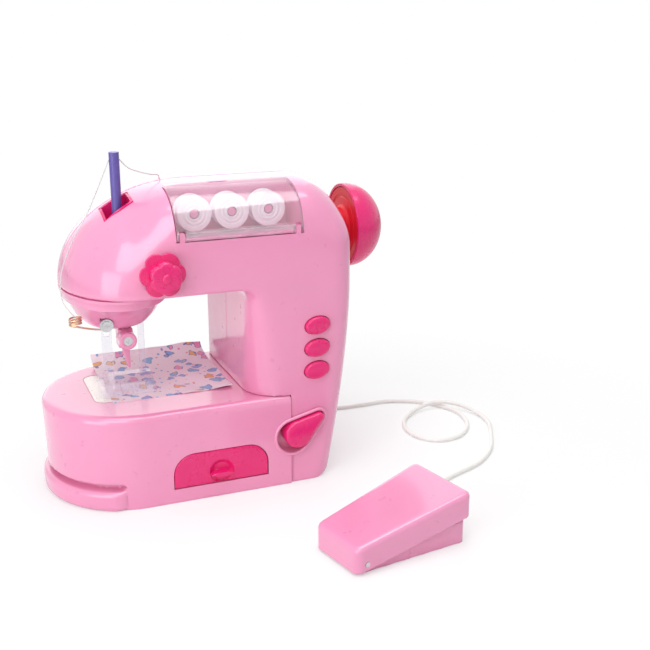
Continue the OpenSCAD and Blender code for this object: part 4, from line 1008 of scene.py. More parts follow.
def column_end(z: Array) -> Array:
    """Right face of the column at each height: straight above, drawn in as a power of the drop below the taper."""
    drop = np.maximum(0.0, CASE.taper_z - z) / CASE.taper_z
    return CASE.end_x - CASE.taper_in * drop**1.6


SWITCH_AT = (52.0, 32.0)
SWITCH_REACH = (17.0, 11.5)
SWITCH_FAT_R = 10.5
SWITCH_TIP_R = 3.5


def teardrop(inset: float, shift: float, count: int = 40) -> Array:
    """Outline of the switch: two arcs joined by their tangents, counter-clockwise on the front face.

    Args:
        inset: How far the outline is drawn in.
        shift: Travel of the fat end towards the tip.
        count: Points on the fat arc.

    Returns:
        Points on X and Z.
    """
    fat, tip, span = SWITCH_FAT_R, SWITCH_TIP_R, math.hypot(*SWITCH_REACH)
    slope = (fat - tip) / span
    lean = math.degrees(math.acos(slope))
    wide = fat - slope * shift - inset
    flat = np.concatenate([arc((shift, 0.0), (wide, wide), lean, 360.0 - lean, count),
                           arc((span, 0.0), (tip - inset, tip - inset), -lean, lean, count // 2)])
    turn = math.atan2(SWITCH_REACH[1], SWITCH_REACH[0])
    spin = np.array([[math.cos(turn), math.sin(turn)], [-math.sin(turn), math.cos(turn)]])
    return flat @ spin + np.array(SWITCH_AT)


def drawer_outline(grow: float) -> Array:
    """Front of the drawer: square below, quarter circles above.

    Args:
        grow: How far the outline is moved outwards.

    Returns:
        Points on X and Z, counter-clockwise.
    """
    r = 13.0 + grow
    return np.concatenate([[[-25.0 - grow, 9.5 - grow], [35.0 + grow, 9.5 - grow]],
                           arc((22.0, 18.0), (r, r), 0, 90, 10), arc((-12.0, 18.0), (r, r), 90, 180, 10)])


def button_outline(place: Sequence[float], grow: float) -> Array:
    """Tilted oval of one push button, on X and Z."""
    return oval(place, (8.25 + grow, 5.5 + grow), 56, 8.0)


KNOB_AT = (-26.7, 144.7)
CORD_EXIT = (57.5, 14.0)
BUTTONS = ((69.0, 103.2), (68.7, 88.7), (68.4, 74.2))
PEDAL_AT = (38.6, -155.5)
PEDAL_TURN = 12.6
CASE_SCREWS = ((-60.0, 148.5), (7.5, 136.5), (88.0, 167.0), (84.0, 94.5), (70.5, 13.5), (36.5, 97.5))


@dataclass
class UpperCase:
    """Arm, head and column, moulded as a front and a rear half."""

    step: float = 1.2
    wall: float = 2.75
    crown_n: float = 3.7
    nose_n: float = 1.9
    end_n: float = 3.0
    rear_n: float = 2.7
    seam: float = 0.1

    def solid(self, x: Array, y: Array, z: Array) -> Array:
        """Outside of the arm and column.

        A section across the arm is a superellipse that stands on straight sides. Its half width follows the round
        nose in plan, its height the side view, and its exponent falls towards the nose, so that the head is egg
        shaped. The column keeps its plan below, with rounded corners, and its end draws in towards the table.

        Args:
            x: Places along the arm.
            y: Places across it.
            z: Heights.

        Returns:
            Signed distances, negative inside.
        """
        c = CASE
        rise = np.maximum(z - c.shoulder_z, 0.0)
        plan = np.minimum((x - c.nose_centre) / c.nose_run, 0.0)
        side = np.minimum(x / c.nose_reach, 0.0)
        keep = 1.0 - plan**2
        fall = 1.0 - side**2
        odd = np.abs(fall) < 1e-4
        ratio = np.where(odd, c.nose_reach / c.nose_run, keep / np.where(odd, 1.0, fall))
        slide = np.clip((x - c.corner_x) / c.corner_run, 0.0, 1.0)
        peak = c.corner_z + c.corner_rise * np.sqrt(1.0 - slide**2) - c.shoulder_z
        ratio = ratio * (c.crown_h / peak) ** 2
        n = self.nose_n + (self.crown_n - self.nose_n) * smooth_step(x, -44.0, -4.0)
        n = n + (self.end_n - self.crown_n) * smooth_step(x, 58.0, 95.0)
        n = np.where(y > 0.0, np.minimum(n, self.rear_n), n)
        high = rise / c.crown_h * np.sqrt(np.maximum(ratio, 1e-6))
        level = ((np.abs(y) / c.half_depth) ** n + high**n) ** (1.0 / n)
        crown = (np.sqrt(level**2 + plan**2) - 1.0) * c.half_depth
        past = x - column_end(z)
        end = corner(past, np.abs(y) - c.half_depth, c.end_r)
        outer = soft_max(crown, end, 5.0)
        outer = np.maximum(outer, corner(past, -z, c.foot_r))
        wide = 9.0 + 16.5 * np.sqrt(np.clip((c.under - z) / (c.under - c.bed_top), 0.0, 1.0))
        front = corner(c.throat_x - x, (-y - c.half_depth) / 0.9, wide)
        rear = corner(c.throat_x - x, y - c.half_depth, 10.0)
        column = np.maximum(front, rear)
        return soft_max(outer, soft_min(c.under - z, column, 9.0), 2.4)

    def rear_face(self, x: Array, z: Array) -> Array:
        """Depth at which the rear face lies over each place, found by halving the span again and again.

        Args:
            x: Places along the arm.
            z: Heights.

        Returns:
            The greatest depth that is still inside.
        """
        low, high = np.zeros_like(x), np.full_like(x, CASE.half_depth + 2.0)
        for _ in range(24):
            middle = (low + high) / 2.0
            inside = self.solid(x, middle, z) < 0.0
            low, high = np.where(inside, middle, low), np.where(inside, high, middle)
        return low

    def skin(self, side: float) -> Field:
        """Field of one half: the wall of the solid on one side of the mid plane, clear of the bed's place.

        Args:
            side: -1 for the front half and 1 for the rear half.

        Returns:
            The half's field.
        """
        outside = evened(self.solid)

        def field_of(x: Array, y: Array, z: Array) -> Array:
            """Signed distance of the half.

            Args:
                x: Places along the first axis.
                y: Places along the second axis.
                z: Heights.

            Returns:
                Distances, negative inside.
            """
            solid = np.maximum(outside(x, y, z), np.minimum(CASE.seam_x + 0.1 - x, CASE.bed_top + 0.1 - z))
            shell = np.maximum(solid, -(solid + self.wall))
            return np.maximum(shell, self.seam - side * y)
        return field_of

    def build(self) -> None:
        """Skins both halves and cuts the window, pocket, button holes, switch well, bores and screw wells."""
        low, high = (-81.0, -57.0, -3.0), (98.5, 57.0, 194.5)
        c = CASE
        half = net_surface(self.skin(-1.0), low, (high[0], 2.0, high[2]), self.step)
        front = make_piece("front_case", *half, BODY_PINK)
        shaft = prism(oval((0.0, c.shaft_z), (3.9, 3.9), 32), 85.0, 100.0, Axis.X)
        bar = prism(oval((c.needle_x, c.needle_y), (4.8, 4.8), 32), 125.0, 136.0, Axis.Z)
        window = prism(rectangle(c.window_x, c.window_x + c.window_l, -60.0, -20.1), c.window_z, 200.0, Axis.Z)
        pocket = prism(rectangle(-52.05, -34.35, -20.85, -3.15), 150.0, 200.0, Axis.Z)
        holes = [prism(button_outline(p, 0.4), -60.0, -46.0, Axis.Y) for p in BUTTONS]
        well = prism(teardrop(0.0, 0.0), -60.0, -44.0, Axis.Y)
        stem = prism(oval(KNOB_AT, (3.4, 3.4), 32), -60.0, -48.0, Axis.Y)
        cut_away(front, [shaft, bar, window, pocket, well, stem] + holes, BODY_PINK)
        fit_out(front, Body.MACHINE, "body_pink", "front_shell")
        rear = make_piece("rear_case", *net_surface(self.skin(1.0), (low[0], -2.0, low[2]), high, self.step), BODY_PINK)
        wells = [prism(oval(p, (3.2, 3.2), 28), 30.0, 70.0, Axis.Y) for p in CASE_SCREWS]
        gland = prism(oval(CORD_EXIT, (4.0, 4.0), 32), 48.0, 60.0, Axis.Y)
        eyelet = prism(oval((-12.0, 6.0), (1.0, 1.0), 20), 180.0, 196.0, Axis.Z)
        cut_away(rear, [shaft, bar, gland, eyelet] + wells, BODY_PINK)
        fit_out(rear, Body.MACHINE, "body_pink", "rear_shell")
        tubes = [turned(np.array([[1.6, 10.0], [4.0, 10.0], [4.0, 50.5], [3.2, 50.5], [3.2, 12.0], [1.6, 12.0],
                                  [1.6, 10.0]]), 28, Axis.Y, (p[0], 0.0, p[1])) for p in CASE_SCREWS]
        points, faces = joined(*tubes)
        points[:, 1] = np.minimum(points[:, 1], self.rear_face(points[:, 0], points[:, 2]) - 0.6)
        fit_out(make_piece("screw_tubes", points, faces, BODY_PINK), Body.MACHINE, "body_pink")


@dataclass
class BedCase:
    """Low bed with the round left end, its lip and groove, and the bottom cover."""

    step: float = 1.2
    wall: float = 2.75
    edge_r: float = 4.6
    end_x: float = 51.4
    seat: tuple[float, float, float, float, float] = (-64.1, -20.9, -22.1, 30.1, 7.1)

    def plan(self, x: Array, y: Array, z: Array) -> Array:
        """Distance to the bed's plan: straight sides and a round end that draws in a little towards the table.

        Args:
            x: Places along the bed.
            y: Places across it.
            z: Heights.

        Returns:
            Signed distances in plan, negative inside.
        """
        reach = CASE.half_depth - CASE.undercut * (1.0 - np.clip(z / CASE.bed_top, 0.0, 1.0))
        round_end = (np.hypot((x - CASE.round_x) / reach, y / CASE.half_depth) - 1.0) * CASE.half_depth
        return np.where(x < CASE.round_x, round_end, np.abs(y) - CASE.half_depth)

    def solid(self, x: Array, y: Array, z: Array) -> Array:
        """Outside of the bed: a rounded slab, with a lip round the left end that fades out, over a blind groove.

        Args:
            x: Places along the bed.
            y: Places across it.
            z: Heights.

        Returns:
            Signed distances, negative inside.
        """
        c = CASE
        plan = self.plan(x, y, z)
        slab = np.maximum(corner(plan, z - c.bed_top, self.edge_r), x - self.end_x)
        fade = np.sqrt(np.clip((c.lip_end_x - x) / 7.0, 0.0, 1.0))
        lip = corner(plan - c.lip_out * fade, np.abs(z - c.lip_h / 2) - c.lip_h / 2, 3.4)
        both = np.minimum(slab, np.where(x < c.lip_end_x, lip, 1e3))
        middle, half = c.lip_h + c.groove_h / 2, c.groove_h / 2
        slot = np.where(x < c.lip_end_x - half, np.abs(z - middle), np.hypot(x - c.lip_end_x + half, z - middle)) - half
        both = np.maximum(both, -np.maximum(slot, -5.0 - plan))
        return np.maximum(both, -z)

    def shell(self, x: Array, y: Array, z: Array) -> Array:
        """Wall of the bed: the outside less the same shape drawn in by the wall."""
        solid = evened(self.solid)(x, y, z)
        return np.maximum(solid, -(solid + self.wall))

    def build(self) -> None:
        """Skins the bed and cuts the drawer hole, the plate's seat, the needle hole, the switch well and the door."""
        points, faces = net_surface(self.shell, (-98.5, -58.5, -2.0), (54.5, 58.5, 62.0), self.step)
        points[:, 2] = np.where(np.abs(points[:, 2]) < 0.05, 0.0, points[:, 2])
        bed = make_piece("bed_case", points, faces, BODY_PINK)
        drawer = prism(drawer_outline(0.4), -60.0, -48.0, Axis.Y)
        plate = prism(rounded_rectangle(*self.seat), 58.6, 70.0, Axis.Z)
        needle = prism(oval((CASE.needle_x, CASE.needle_y), (1.7, 1.7), 24), 50.0, 70.0, Axis.Z)
        well = prism(teardrop(0.0, 0.0), -60.0, -44.0, Axis.Y)
        door = prism(rectangle(-32.0, 32.0, 5.0, 39.0), -3.0, 6.0, Axis.Z)
        screws = ((-66, -22), (-66, 22), (42.5, 43.5), (42.5, -24))
        heads = [prism(oval(p, (2.9, 2.9), 24), -3.0, 1.2, Axis.Z) for p in screws]
        cut_away(bed, [drawer, plate, well, door] + heads, BODY_PINK)
        cut_away(bed, [needle], BODY_PINK)
        fit_out(bed, Body.MACHINE, "body_pink", "bed_shell", "base_cover")
        self.plate()

    def plate(self) -> None:
        """Stacks rounded rectangles into the bright plate, bores it, and lays a thin dark red tube in its gap as
        painted shade of the gap.
        """
        insets, heights = (0.2, 0.0, 0.0, 0.12, 0.4), (58.7, 58.8, 59.3, 59.45, 59.5)
        outlines = [rounded_rectangle(i - 64.0, -21.0 - i, i - 22.0, 30.0 - i, 7.0 - i, 10) for i in insets]
        sheet = make_piece("plate_face", *stacked(outlines, heights, Axis.Z), PLATE_STEEL, 50.0)
        cut_away(sheet, [prism(oval((CASE.needle_x, CASE.needle_y), (1.6, 1.6), 28), 50.0, 70.0, Axis.Z)], PLATE_STEEL)
        fit_out(sheet, Body.MACHINE, "plate_steel", "needle_plate")
        # Dark red tube laid round the plate's seat: painted shade in the thin gap between plate and bed.
        lines = rounded_rectangle(*self.seat, 10)
        rim = np.column_stack([lines, np.full(len(lines), 59.38)])
        gap_shade_line = make_piece("plate_outline", *swept(rim, 0.22, 6, True), Plastic("plate_edge", linear(176, 40, 70), 0.4))
        fit_out(gap_shade_line, Body.MACHINE, "hot_pink")


@dataclass
class NeedleHousing:
    """Stepped collars and the tapered cup under the head."""

    rows: tuple[tuple[float, float, float, float], ...] = (
        (105.0, -3.0, 15.5, 15.5), (105.2, -3.0, 16.9, 16.7), (105.9, -3.0, 18.0, 17.8), (107.0, -3.0, 19.3, 19.0),
        (110.0, -3.0, 22.4, 20.6), (113.0, -3.0, 24.8, 22.2), (117.0, -3.0, 26.8, 26.4), (120.4, -2.6, 27.8, 32.6),
        (122.0, -2.2, 28.0, 37.6), (122.1, -1.6, 29.6, 41.0), (122.4, -0.6, 31.0, 44.0), (122.9, 0.0, 31.4, 45.0),
        (127.0, 0.0, 31.5, 45.2), (127.1, 0.0, 31.3, 45.0), (127.2, 0.0, 32.2, 46.8), (127.6, 0.0, 32.9, 48.6),
        (129.4, 0.0, 33.0, 49.0))
    centre_x: float = -45.0

    def build(self) -> None:
        """Skins the stack of ovals and cuts the bar's bore, the guard's slots and the washer's seat."""
        outlines = [oval((self.centre_x, y), (rx, ry), 96) for _, y, rx, ry in self.rows]
        piece = make_piece("needle_cup", *stacked(outlines, [r[0] for r in self.rows], Axis.Z), BODY_PINK, 40.0)
        bore = prism(oval((CASE.needle_x, CASE.needle_y), (4.3, 4.3), 36), 100.0, 135.0, Axis.Z)
        post = prism(rectangle(-58.4, -51.6, -22.5, -19.6), 100.0, 118.7, Axis.Z)
        stay = prism(rectangle(-32.4, -28.1, -4.4, 0.4), 100.0, 111.5, Axis.Z)
        seat = prism(oval((-55.0, 109.0), (4.4, 4.4), 32), -80.0, -22.0, Axis.Y)
        cut_away(piece, [bore, post, stay], BODY_PINK)
        cut_away(piece, [seat], BODY_PINK)
        fit_out(piece, Body.MACHINE, "body_pink", "needle_housing")


@dataclass
class BobbinWindow:
    """Clear curved cover on its hinge, and the three bobbins behind it."""

    centre: tuple[float, float] = (-20.5, 158.0)
    radius: float = 33.0
    thick: float = 1.6
    hinge: tuple[float, float] = (-50.1, 164.9)
    axle_z: float = 174.4
    case: UpperCase = field(default_factory=UpperCase)
    bobbins: tuple[tuple[str, float], ...] = (("bobbin_left", -1.5), ("bobbin_middle", 21.5), ("bobbin_right", 44.5))

    def cover(self) -> None:
        """Bends a sheet round the arm's top corner.

        A point is given by its place along the arm and an angle round the corner's centre; the upper edge draws back
        in a smooth finger notch, and the lower edge stops over each hinge ear. A second sheet, one thickness in,
        and strips along the four edges close it.
        """
        along = np.unique(np.concatenate([np.linspace(-16.6, 60.6, 140), np.array([-15.5, -11.5, 55.5, 59.5])]))
        notch = smooth_step(along, 9.0, 11.5) * (1.0 - smooth_step(along, 20.5, 23.0))
        top = 92.0 + notch * math.degrees(3.2 / self.radius)
        ears = ((along >= -15.6) & (along <= -11.4)) | ((along >= 55.4) & (along <= 59.6))
        base = 180.0 - math.degrees(math.asin((self.hinge[1] - self.centre[1]) / self.radius))
        low = np.where(ears, base - 6.5, base)
        share = np.linspace(0.0, 1.0, 40)
        angle = np.radians(low[:, None] + (top - low)[:, None] * share[None, :])
        skins = []
        for r in (self.radius, self.radius - self.thick):
            skins.append(np.stack([np.broadcast_to(along[:, None], angle.shape), self.centre[0] + r * np.cos(angle),
                                   self.centre[1] + r * np.sin(angle)], -1).reshape(-1, 3))
        rows, columns = angle.shape
        quads = grid_quads(rows, columns)
        count = rows * columns
        index = np.arange(count).reshape(rows, columns)
        border = np.concatenate([index[:, 0], index[-1, 1:], index[-2::-1, -1], index[0, -2:0:-1]])
        after = np.roll(border, -1)
        edge = np.stack([border, border + count, after + count, after], 1)
        sheet = (np.concatenate(skins), np.concatenate([quads[:, ::-1], quads + count, edge[:, ::-1]]))
        spans = ((-16.6, -15.5), (-11.5, 55.5), (59.5, 60.6))
        at = (0.0, *self.hinge)
        bars = [turned(np.array([[0.01, a], [2.9, a], [2.9, b], [0.01, b]]), 28, Axis.X, at) for a, b in spans]
        pin = turned(np.array([[0.01, -16.6], [0.95, -16.6], [0.95, 60.6], [0.01, 60.6]]), 16, Axis.X, at)
        piece = make_piece("bobbin_cover", *joined(sheet, *bars, pin), COVER_CLEAR)
        fit_out(piece, Body.COVER, "clear_plastic", "spool_cover")

    def spools(self) -> None:
        """Turns each bobbin from a profile of its flanges, rings and bore."""
        rings = np.array([[3.1, -22.0], [3.1, -35.0], [3.9, -35.0], [4.1, -34.6], [5.0, -34.5], [5.3, -34.9],
                          [6.1, -35.0], [6.4, -34.5], [7.4, -34.4], [7.7, -34.8], [9.9, -35.0], [10.4, -34.8],
                          [10.5, -34.4], [10.5, -32.6], [10.2, -32.2], [9.4, -32.1], [9.4, -25.0], [10.2, -24.8],
                          [10.5, -24.4], [10.5, -22.4], [10.2, -22.0], [3.1, -22.0]])
        for body, x in self.bobbins:
            piece = make_piece(body + "_spool", *turned(rings, 72, Axis.Y, (x, 0.0, self.axle_z)), BOBBIN_WHITE, 30.0)
            fit_out(piece, body, "bobbin_plastic", body)

    def tray_field(self, x: Array, y: Array, z: Array) -> Array:
        """Open box behind the window, trimmed by the case's own outside drawn in a little.

        Args:
            x: Places along the arm.
            y: Places across it.
            z: Heights.

        Returns:
            Signed distances, negative inside.
        """
        box = np.maximum(np.abs(x - 22.0) - 41.6, np.maximum(np.maximum(-52.5 - y, y + 17.4), 158.9 - z))
        room = np.maximum(np.abs(x - 22.0) - 39.0, np.maximum(y + 20.0, 161.5 - z))
        return np.maximum(np.maximum(box, -room), self.case.solid(x, y, z) + 0.6)

    def tray(self) -> None:
        """Skins the box, and adds the three pegs and the two hinge ears."""
        points, faces = net_surface(self.tray_field, (-22.0, -54.0, 157.0), (66.0, -16.0, 192.0), 1.0)
        pegs = [turned(np.array([[0.01, -34.0], [2.2, -34.0], [2.7, -33.5], [2.7, -19.0], [0.01, -19.0]]), 32, Axis.Y,
                       (x, 0.0, self.axle_z)) for _, x in self.bobbins]
        ears = [prism(rectangle(x, x + 3.0, -51.6, -46.5), 161.4, 166.6, Axis.Z) for x in (-15.0, 56.0)]
        piece = make_piece("bobbin_box", *joined((points, faces), *pegs, *ears), BODY_PINK)
        bore = prism(oval(self.hinge, (1.06, 1.06), 20), -16.0, 60.0, Axis.X)
        cut_away(piece, [bore], BODY_PINK)
        fit_out(piece, Body.MACHINE, "body_pink", "bobbin_tray")

    def build(self) -> None:
        """Makes the box, the cover and the bobbins."""
        self.tray()
        self.cover()
        self.spools()


@dataclass
class Controls:
    """Flower knob, three push buttons, and the sliding power switch with its raised bead."""

    knob_at: tuple[float, float] = KNOB_AT
    buttons: tuple[str, ...] = ("button_1", "button_2", "button_3")

    def petals(self, size: float, turn: float, dip: float, inset: float = 0.0) -> Array:
        """Outline of six round lobes: a circle whose radius dips in a rounded notch at each sixth of a turn.

        Args:
            size: Overall diameter.
            turn: Turn of the first lobe in degrees.
            dip: Share of the radius that a notch takes.
            inset: How far the outline is drawn in.

        Returns:
            Points on X and Z, counter-clockwise.
        """
        around = np.radians(np.arange(0.0, 360.0, 2.0))
        lobe = np.sqrt(np.abs(np.cos(3.0 * (around - math.radians(turn)))))
        reach = (size / 2.0) * (1.0 - dip * (1.0 - lobe)) - inset
        return np.stack([self.knob_at[0] + reach * np.cos(around), self.knob_at[1] + reach * np.sin(around)], 1)

    def knob(self) -> None:
        """Stacks lobed outlines for the flange and the barrel, with six raised lines and a dome on the face."""
        x, z = self.knob_at
        flange = stacked([self.petals(27.0, 0, 0.2, i) for i in (0.9, 0.25, 0.0, 0.0, 0.2)],
                         [-56.5, -56.3, -55.7, -54.2, -53.95], Axis.Y)
        barrel = stacked([self.petals(18.9, 30, 0.12, i) for i in (2.4, 1.3, 0.5, 0.1, 0.0, 0.2, 0.4)],
                         [-65.3, -65.1, -64.6, -63.8, -62.6, -58.6, -56.2], Axis.Y)
        t = np.radians(np.linspace(90.0, 0.0, 8))
        dome = turned(np.column_stack([np.append(2.8 * np.cos(t), 0.01), np.append(-65.0 - 1.4 * np.sin(t), -64.5)]),
                      48, Axis.Y, (x, 0.0, z))
        stem = turned(np.array([[0.01, -54.5], [2.95, -54.5], [2.95, -47.5], [0.01, -47.5]]), 32, Axis.Y, (x, 0.0, z))
        turns = np.radians(np.arange(0.0, 360.0, 60.0))
        lines = [swept(np.array([[x + r * math.cos(a), -65.3 + (0.5 if r > 6.0 else 0.0), z + r * math.sin(a)]
                                 for r in (2.0, 5.0, 7.4)]), 0.32, 8) for a in turns]
        piece = make_piece("flower_knob", *joined(flange, barrel, dome, stem, *lines), HOT_PINK, 40.0)
        fit_out(piece, Body.KNOB, "hot_pink", "tension_knob")

    def push_buttons(self) -> None:
        """Stacks ovals that draw in by a quarter round towards the face of each button."""
        for name, place in zip(self.buttons, BUTTONS):
            turn = np.radians(np.array([90.0, 75.0, 60.0, 40.0, 20.0, 0.0]))
            inset = np.concatenate([[4.0], 2.6 * (1.0 - np.cos(turn)), [0.0]])
            height = np.concatenate([[-55.3], -53.6 - 1.5 * np.sin(turn), [-50.6]])
            outlines = [button_outline(place, -i) for i in inset]
            piece = make_piece(name + "_cap", *stacked(outlines, height, Axis.Y), HOT_PINK, 50.0)
            fit_out(piece, name, "hot_pink", name)

    def switch(self) -> None:
        """Stacks teardrops into a domed slider, and carries a small circle round the well for the bead."""
        turn = np.radians(np.array([90.0, 70.0, 50.0, 30.0, 15.0, 0.0]))
        inset = np.concatenate([[2.9], 0.4 + 2.2 * (1.0 - np.cos(turn)), [0.4]])
        height = np.concatenate([[-57.5], -55.2 - 2.2 * np.sin(turn), [-46.9]])
        piece = make_piece("switch_cap", *stacked([teardrop(i, 3.5) for i in inset], height, Axis.Y), HOT_PINK, 50.0)
        fit_out(piece, Body.SWITCH, "hot_pink", "power_switch")
        line = teardrop(-1.1, 0.0, 64)
        ring = np.column_stack([line[:, 0], np.full(len(line), -53.4), line[:, 1]])
        bead = make_piece("switch_bead", *swept(ring, 1.1, 12, True), BODY_PINK, 60.0)
        fit_out(bead, Body.MACHINE, "body_pink")

    def build(self) -> None:
        """Makes the knob, the buttons and the switch."""
        self.knob()
        self.push_buttons()
        self.switch()


@dataclass
class DrawerUnit:
    """Drawer with a flat front, a pull tab under an arc recess, and an open tray."""

    step: float = 0.8
    centre_x: float = 5.0

    def solid(self, x: Array, y: Array, z: Array) -> Array:
        """Front plate with rounded edges, joined to a hollow tray and a tab, less a round dish above the tab.

        Args:
            x: Places across the front.
            y: Places from front to back.
            z: Heights.

        Returns:
            Signed distances, negative inside.
        """
        side = np.abs(x - self.centre_x) - 30.0
        top = corner(side, z - 31.0, 13.0)
        outline = np.maximum(np.maximum(top, side), 9.5 - z)
        front = corner(outline, np.abs(y + 52.0) - 1.5, 0.9)
        tray = np.maximum(np.maximum(np.abs(x - self.centre_x) - 27.0, np.abs(z - 17.0) - 7.5), np.abs(y + 30.5) - 21.0)
        room = np.maximum(np.maximum(np.abs(x - self.centre_x) - 25.2, 11.3 - z), np.abs(y + 30.85) - 19.55)
        tray = np.maximum(tray, -room)
        tab = (np.hypot((x - self.centre_x) / 7.4, (z - 15.6) / 1.5) - 1.0) * 1.5
        tab = np.maximum(tab, np.abs(y + 54.0) - 2.5)
        dish = np.hypot(np.hypot(x - self.centre_x, z - 16.4), y + 60.0) - 10.2
        return np.maximum(np.minimum(np.minimum(np.maximum(front, -dish), tray), tab), -56.5 - y)

    def build(self) -> None:
        """Skins the drawer."""
        points, faces = net_surface(self.solid, (-27.0, -58.0, 8.0), (37.0, -8.0, 33.0), self.step)
        fit_out(make_piece("drawer_box", points, faces, HOT_PINK), Body.DRAWER, "hot_pink", "drawer")


@dataclass
class HandWheel:
    """Domed wheel with its red inner disc."""

    axis: tuple[float, float] = (0.0, CASE.shaft_z)
    radius: float = 27.2
    depth: float = 22.9
    middle: float = 109.4
    wall: float = 2.0

    def build(self) -> None:
        """Turns the dome's outside and inside from two ellipses, and the disc and boss from a profile."""
        t = np.radians(np.linspace(0.0, 90.0, 32))
        outside, inside = (np.column_stack([(self.radius - w) * np.cos(t), self.middle + (self.depth - w) * np.sin(t)])
                           for w in (0.0, self.wall))
        rim = np.array([[25.2, 107.4], [25.6, 107.0], [26.8, 107.0], [27.2, 107.5]])
        profile = np.concatenate([inside[::-1], rim, outside])
        at = (0.0, self.axis[0], self.axis[1])
        boss = turned(np.array([[0.01, 112.0], [6.0, 112.0], [6.0, 131.0], [0.01, 131.0]]), 40, Axis.X, at)
        dome = make_piece("wheel_dome", *joined(turned(profile, 96, Axis.X, at), boss), HOT_PINK)
        fit_out(dome, Body.WHEEL, "hot_pink", "hand_wheel")
        hub = np.array([[3.05, 96.3], [11.2, 96.3], [12.0, 97.0], [12.0, 105.6], [13.4, 107.2], [18.0, 107.5],
                        [18.6, 108.0], [20.0, 108.0], [20.6, 107.5], [24.4, 107.3], [24.9, 107.8], [24.9, 110.0],
                        [3.05, 110.0]])
        disc = make_piece("wheel_disc", *turned(hub, 80, Axis.X, at), HUB_RED, 28.0)
        fit_out(disc, Body.WHEEL, "hub_red", "wheel_hub")


@dataclass
class NeedleClamp:
    """Needle clamp with its round hub and pointed tongue."""

    step: float = 0.5
    hub_z: float = 97.5

    def solid(self, x: Array, y: Array, z: Array) -> Array:
        """Rounded block, a cylinder across its front and a tongue cut slantwise, with a bore for the screw.

        Args:
            x: Places across.
            y: Places from front to back.
            z: Heights.

        Returns:
            Signed distances, negative inside.
        """
        u, v = np.abs(x - CASE.needle_x), np.abs(y - CASE.needle_y)
        block = corner(corner(u - 4.5, v - 5.0, 1.2), np.abs(z - self.hub_z) - 6.0, 0.8)
        hub = corner(np.hypot(x - CASE.needle_x, z - self.hub_z) - 5.4, np.abs(y + 18.0) - 6.0, 0.9)
        slant = (-(x - CASE.needle_x) * 14.0 + (92.0 - z) * 3.4) / 14.4 - 2.4
        tongue = np.maximum(corner(u - 2.5, v - 2.5, 0.6), np.maximum(np.maximum(77.5 - z, z - 93.0), slant))
        shape = soft_min(soft_min(block, hub, 1.2), tongue, 1.0)
        bore = np.maximum(np.hypot(x - CASE.needle_x, z - self.hub_z) - 2.85, y + 21.8)
        return np.maximum(shape, -bore)

    def build(self) -> None:
        """Skins the clamp."""
        points, faces = net_surface(self.solid, (-49.0, -26.0, 76.0), (-36.0, -5.0, 105.5), self.step)
        fit_out(make_piece("needle_holder", points, faces, BODY_PINK), Body.NEEDLE, "body_pink", "needle_clamp")


@dataclass
class ThreadWork:
    """Brass guide wire and the two threads that leave the eye of the rod."""

    front: tuple[tuple[float, float, float], ...] = (
        (-45.6, -12, 205.5), (-60, -14, 176), (-70, -16, 160.5), (-77, -18, 146), (-79.5, -19, 134), (-78.5, -20, 124),
        (-73, -23.4, 116))
    rear: tuple[tuple[float, float, float], ...] = (
        (-39.4, -12, 205.5), (-34, -9, 200), (-27, -6, 196.7), (-19, -1, 194), (-13.5, 4, 192.6), (-12, 6, 189.8))

    def wire(self) -> None:
        """Carries a circle along a coil, a straight arm and an eye round the screw."""
        turn = np.radians(np.linspace(0.0, 1080.0, 145) - 90.0)
        coil = np.stack([-73.0 + 3.4 * np.cos(turn), -23.4 + 3.4 * np.sin(turn),
                         111.2 + 1.6 * (3.0 - np.linspace(0.0, 3.0, 145))], 1)
        bend = np.array([[-66.0, -24.6, 108.6], [-60.1, -22.95, 106.9], [-57.5, -22.95, 106.75]])
        around = np.radians(np.linspace(-90.0, 180.0, 37))
        eye = np.stack([-55.0 + 2.25 * np.cos(around), np.full(37, -22.95), 109.0 + 2.25 * np.sin(around)], 1)
        path = np.concatenate([coil, eased_path(np.concatenate([coil[-1:], bend, eye[:1]]), 6)[1:-1], eye])
        piece = make_piece("guide_wire", *swept(path, 0.55, 10), BRASS, 60.0)
        fit_out(piece, Body.MACHINE, "brass_wire", "thread_guide_wire")

    def thread(self, name: str, points: Sequence[Sequence[float]], node: str) -> None:
        """Makes one thread as a curved tube from the sliding rod to the casing.

        Args:
            name: Piece name.
            points: Points that the thread passes through, from the rod to the casing.
            node: Solid that it stands for.
        """
        path = eased_path(points, 10)
        piece = make_piece(name, *swept(path, 0.3, 8), THREAD, 70.0)
        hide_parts(node)
        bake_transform(piece)

    def build(self) -> None:
        """Makes the wire and both threads."""
        self.wire()
        self.thread("front_thread", self.front, "thread_front")
        self.thread("rear_thread", self.rear, "thread_rear")


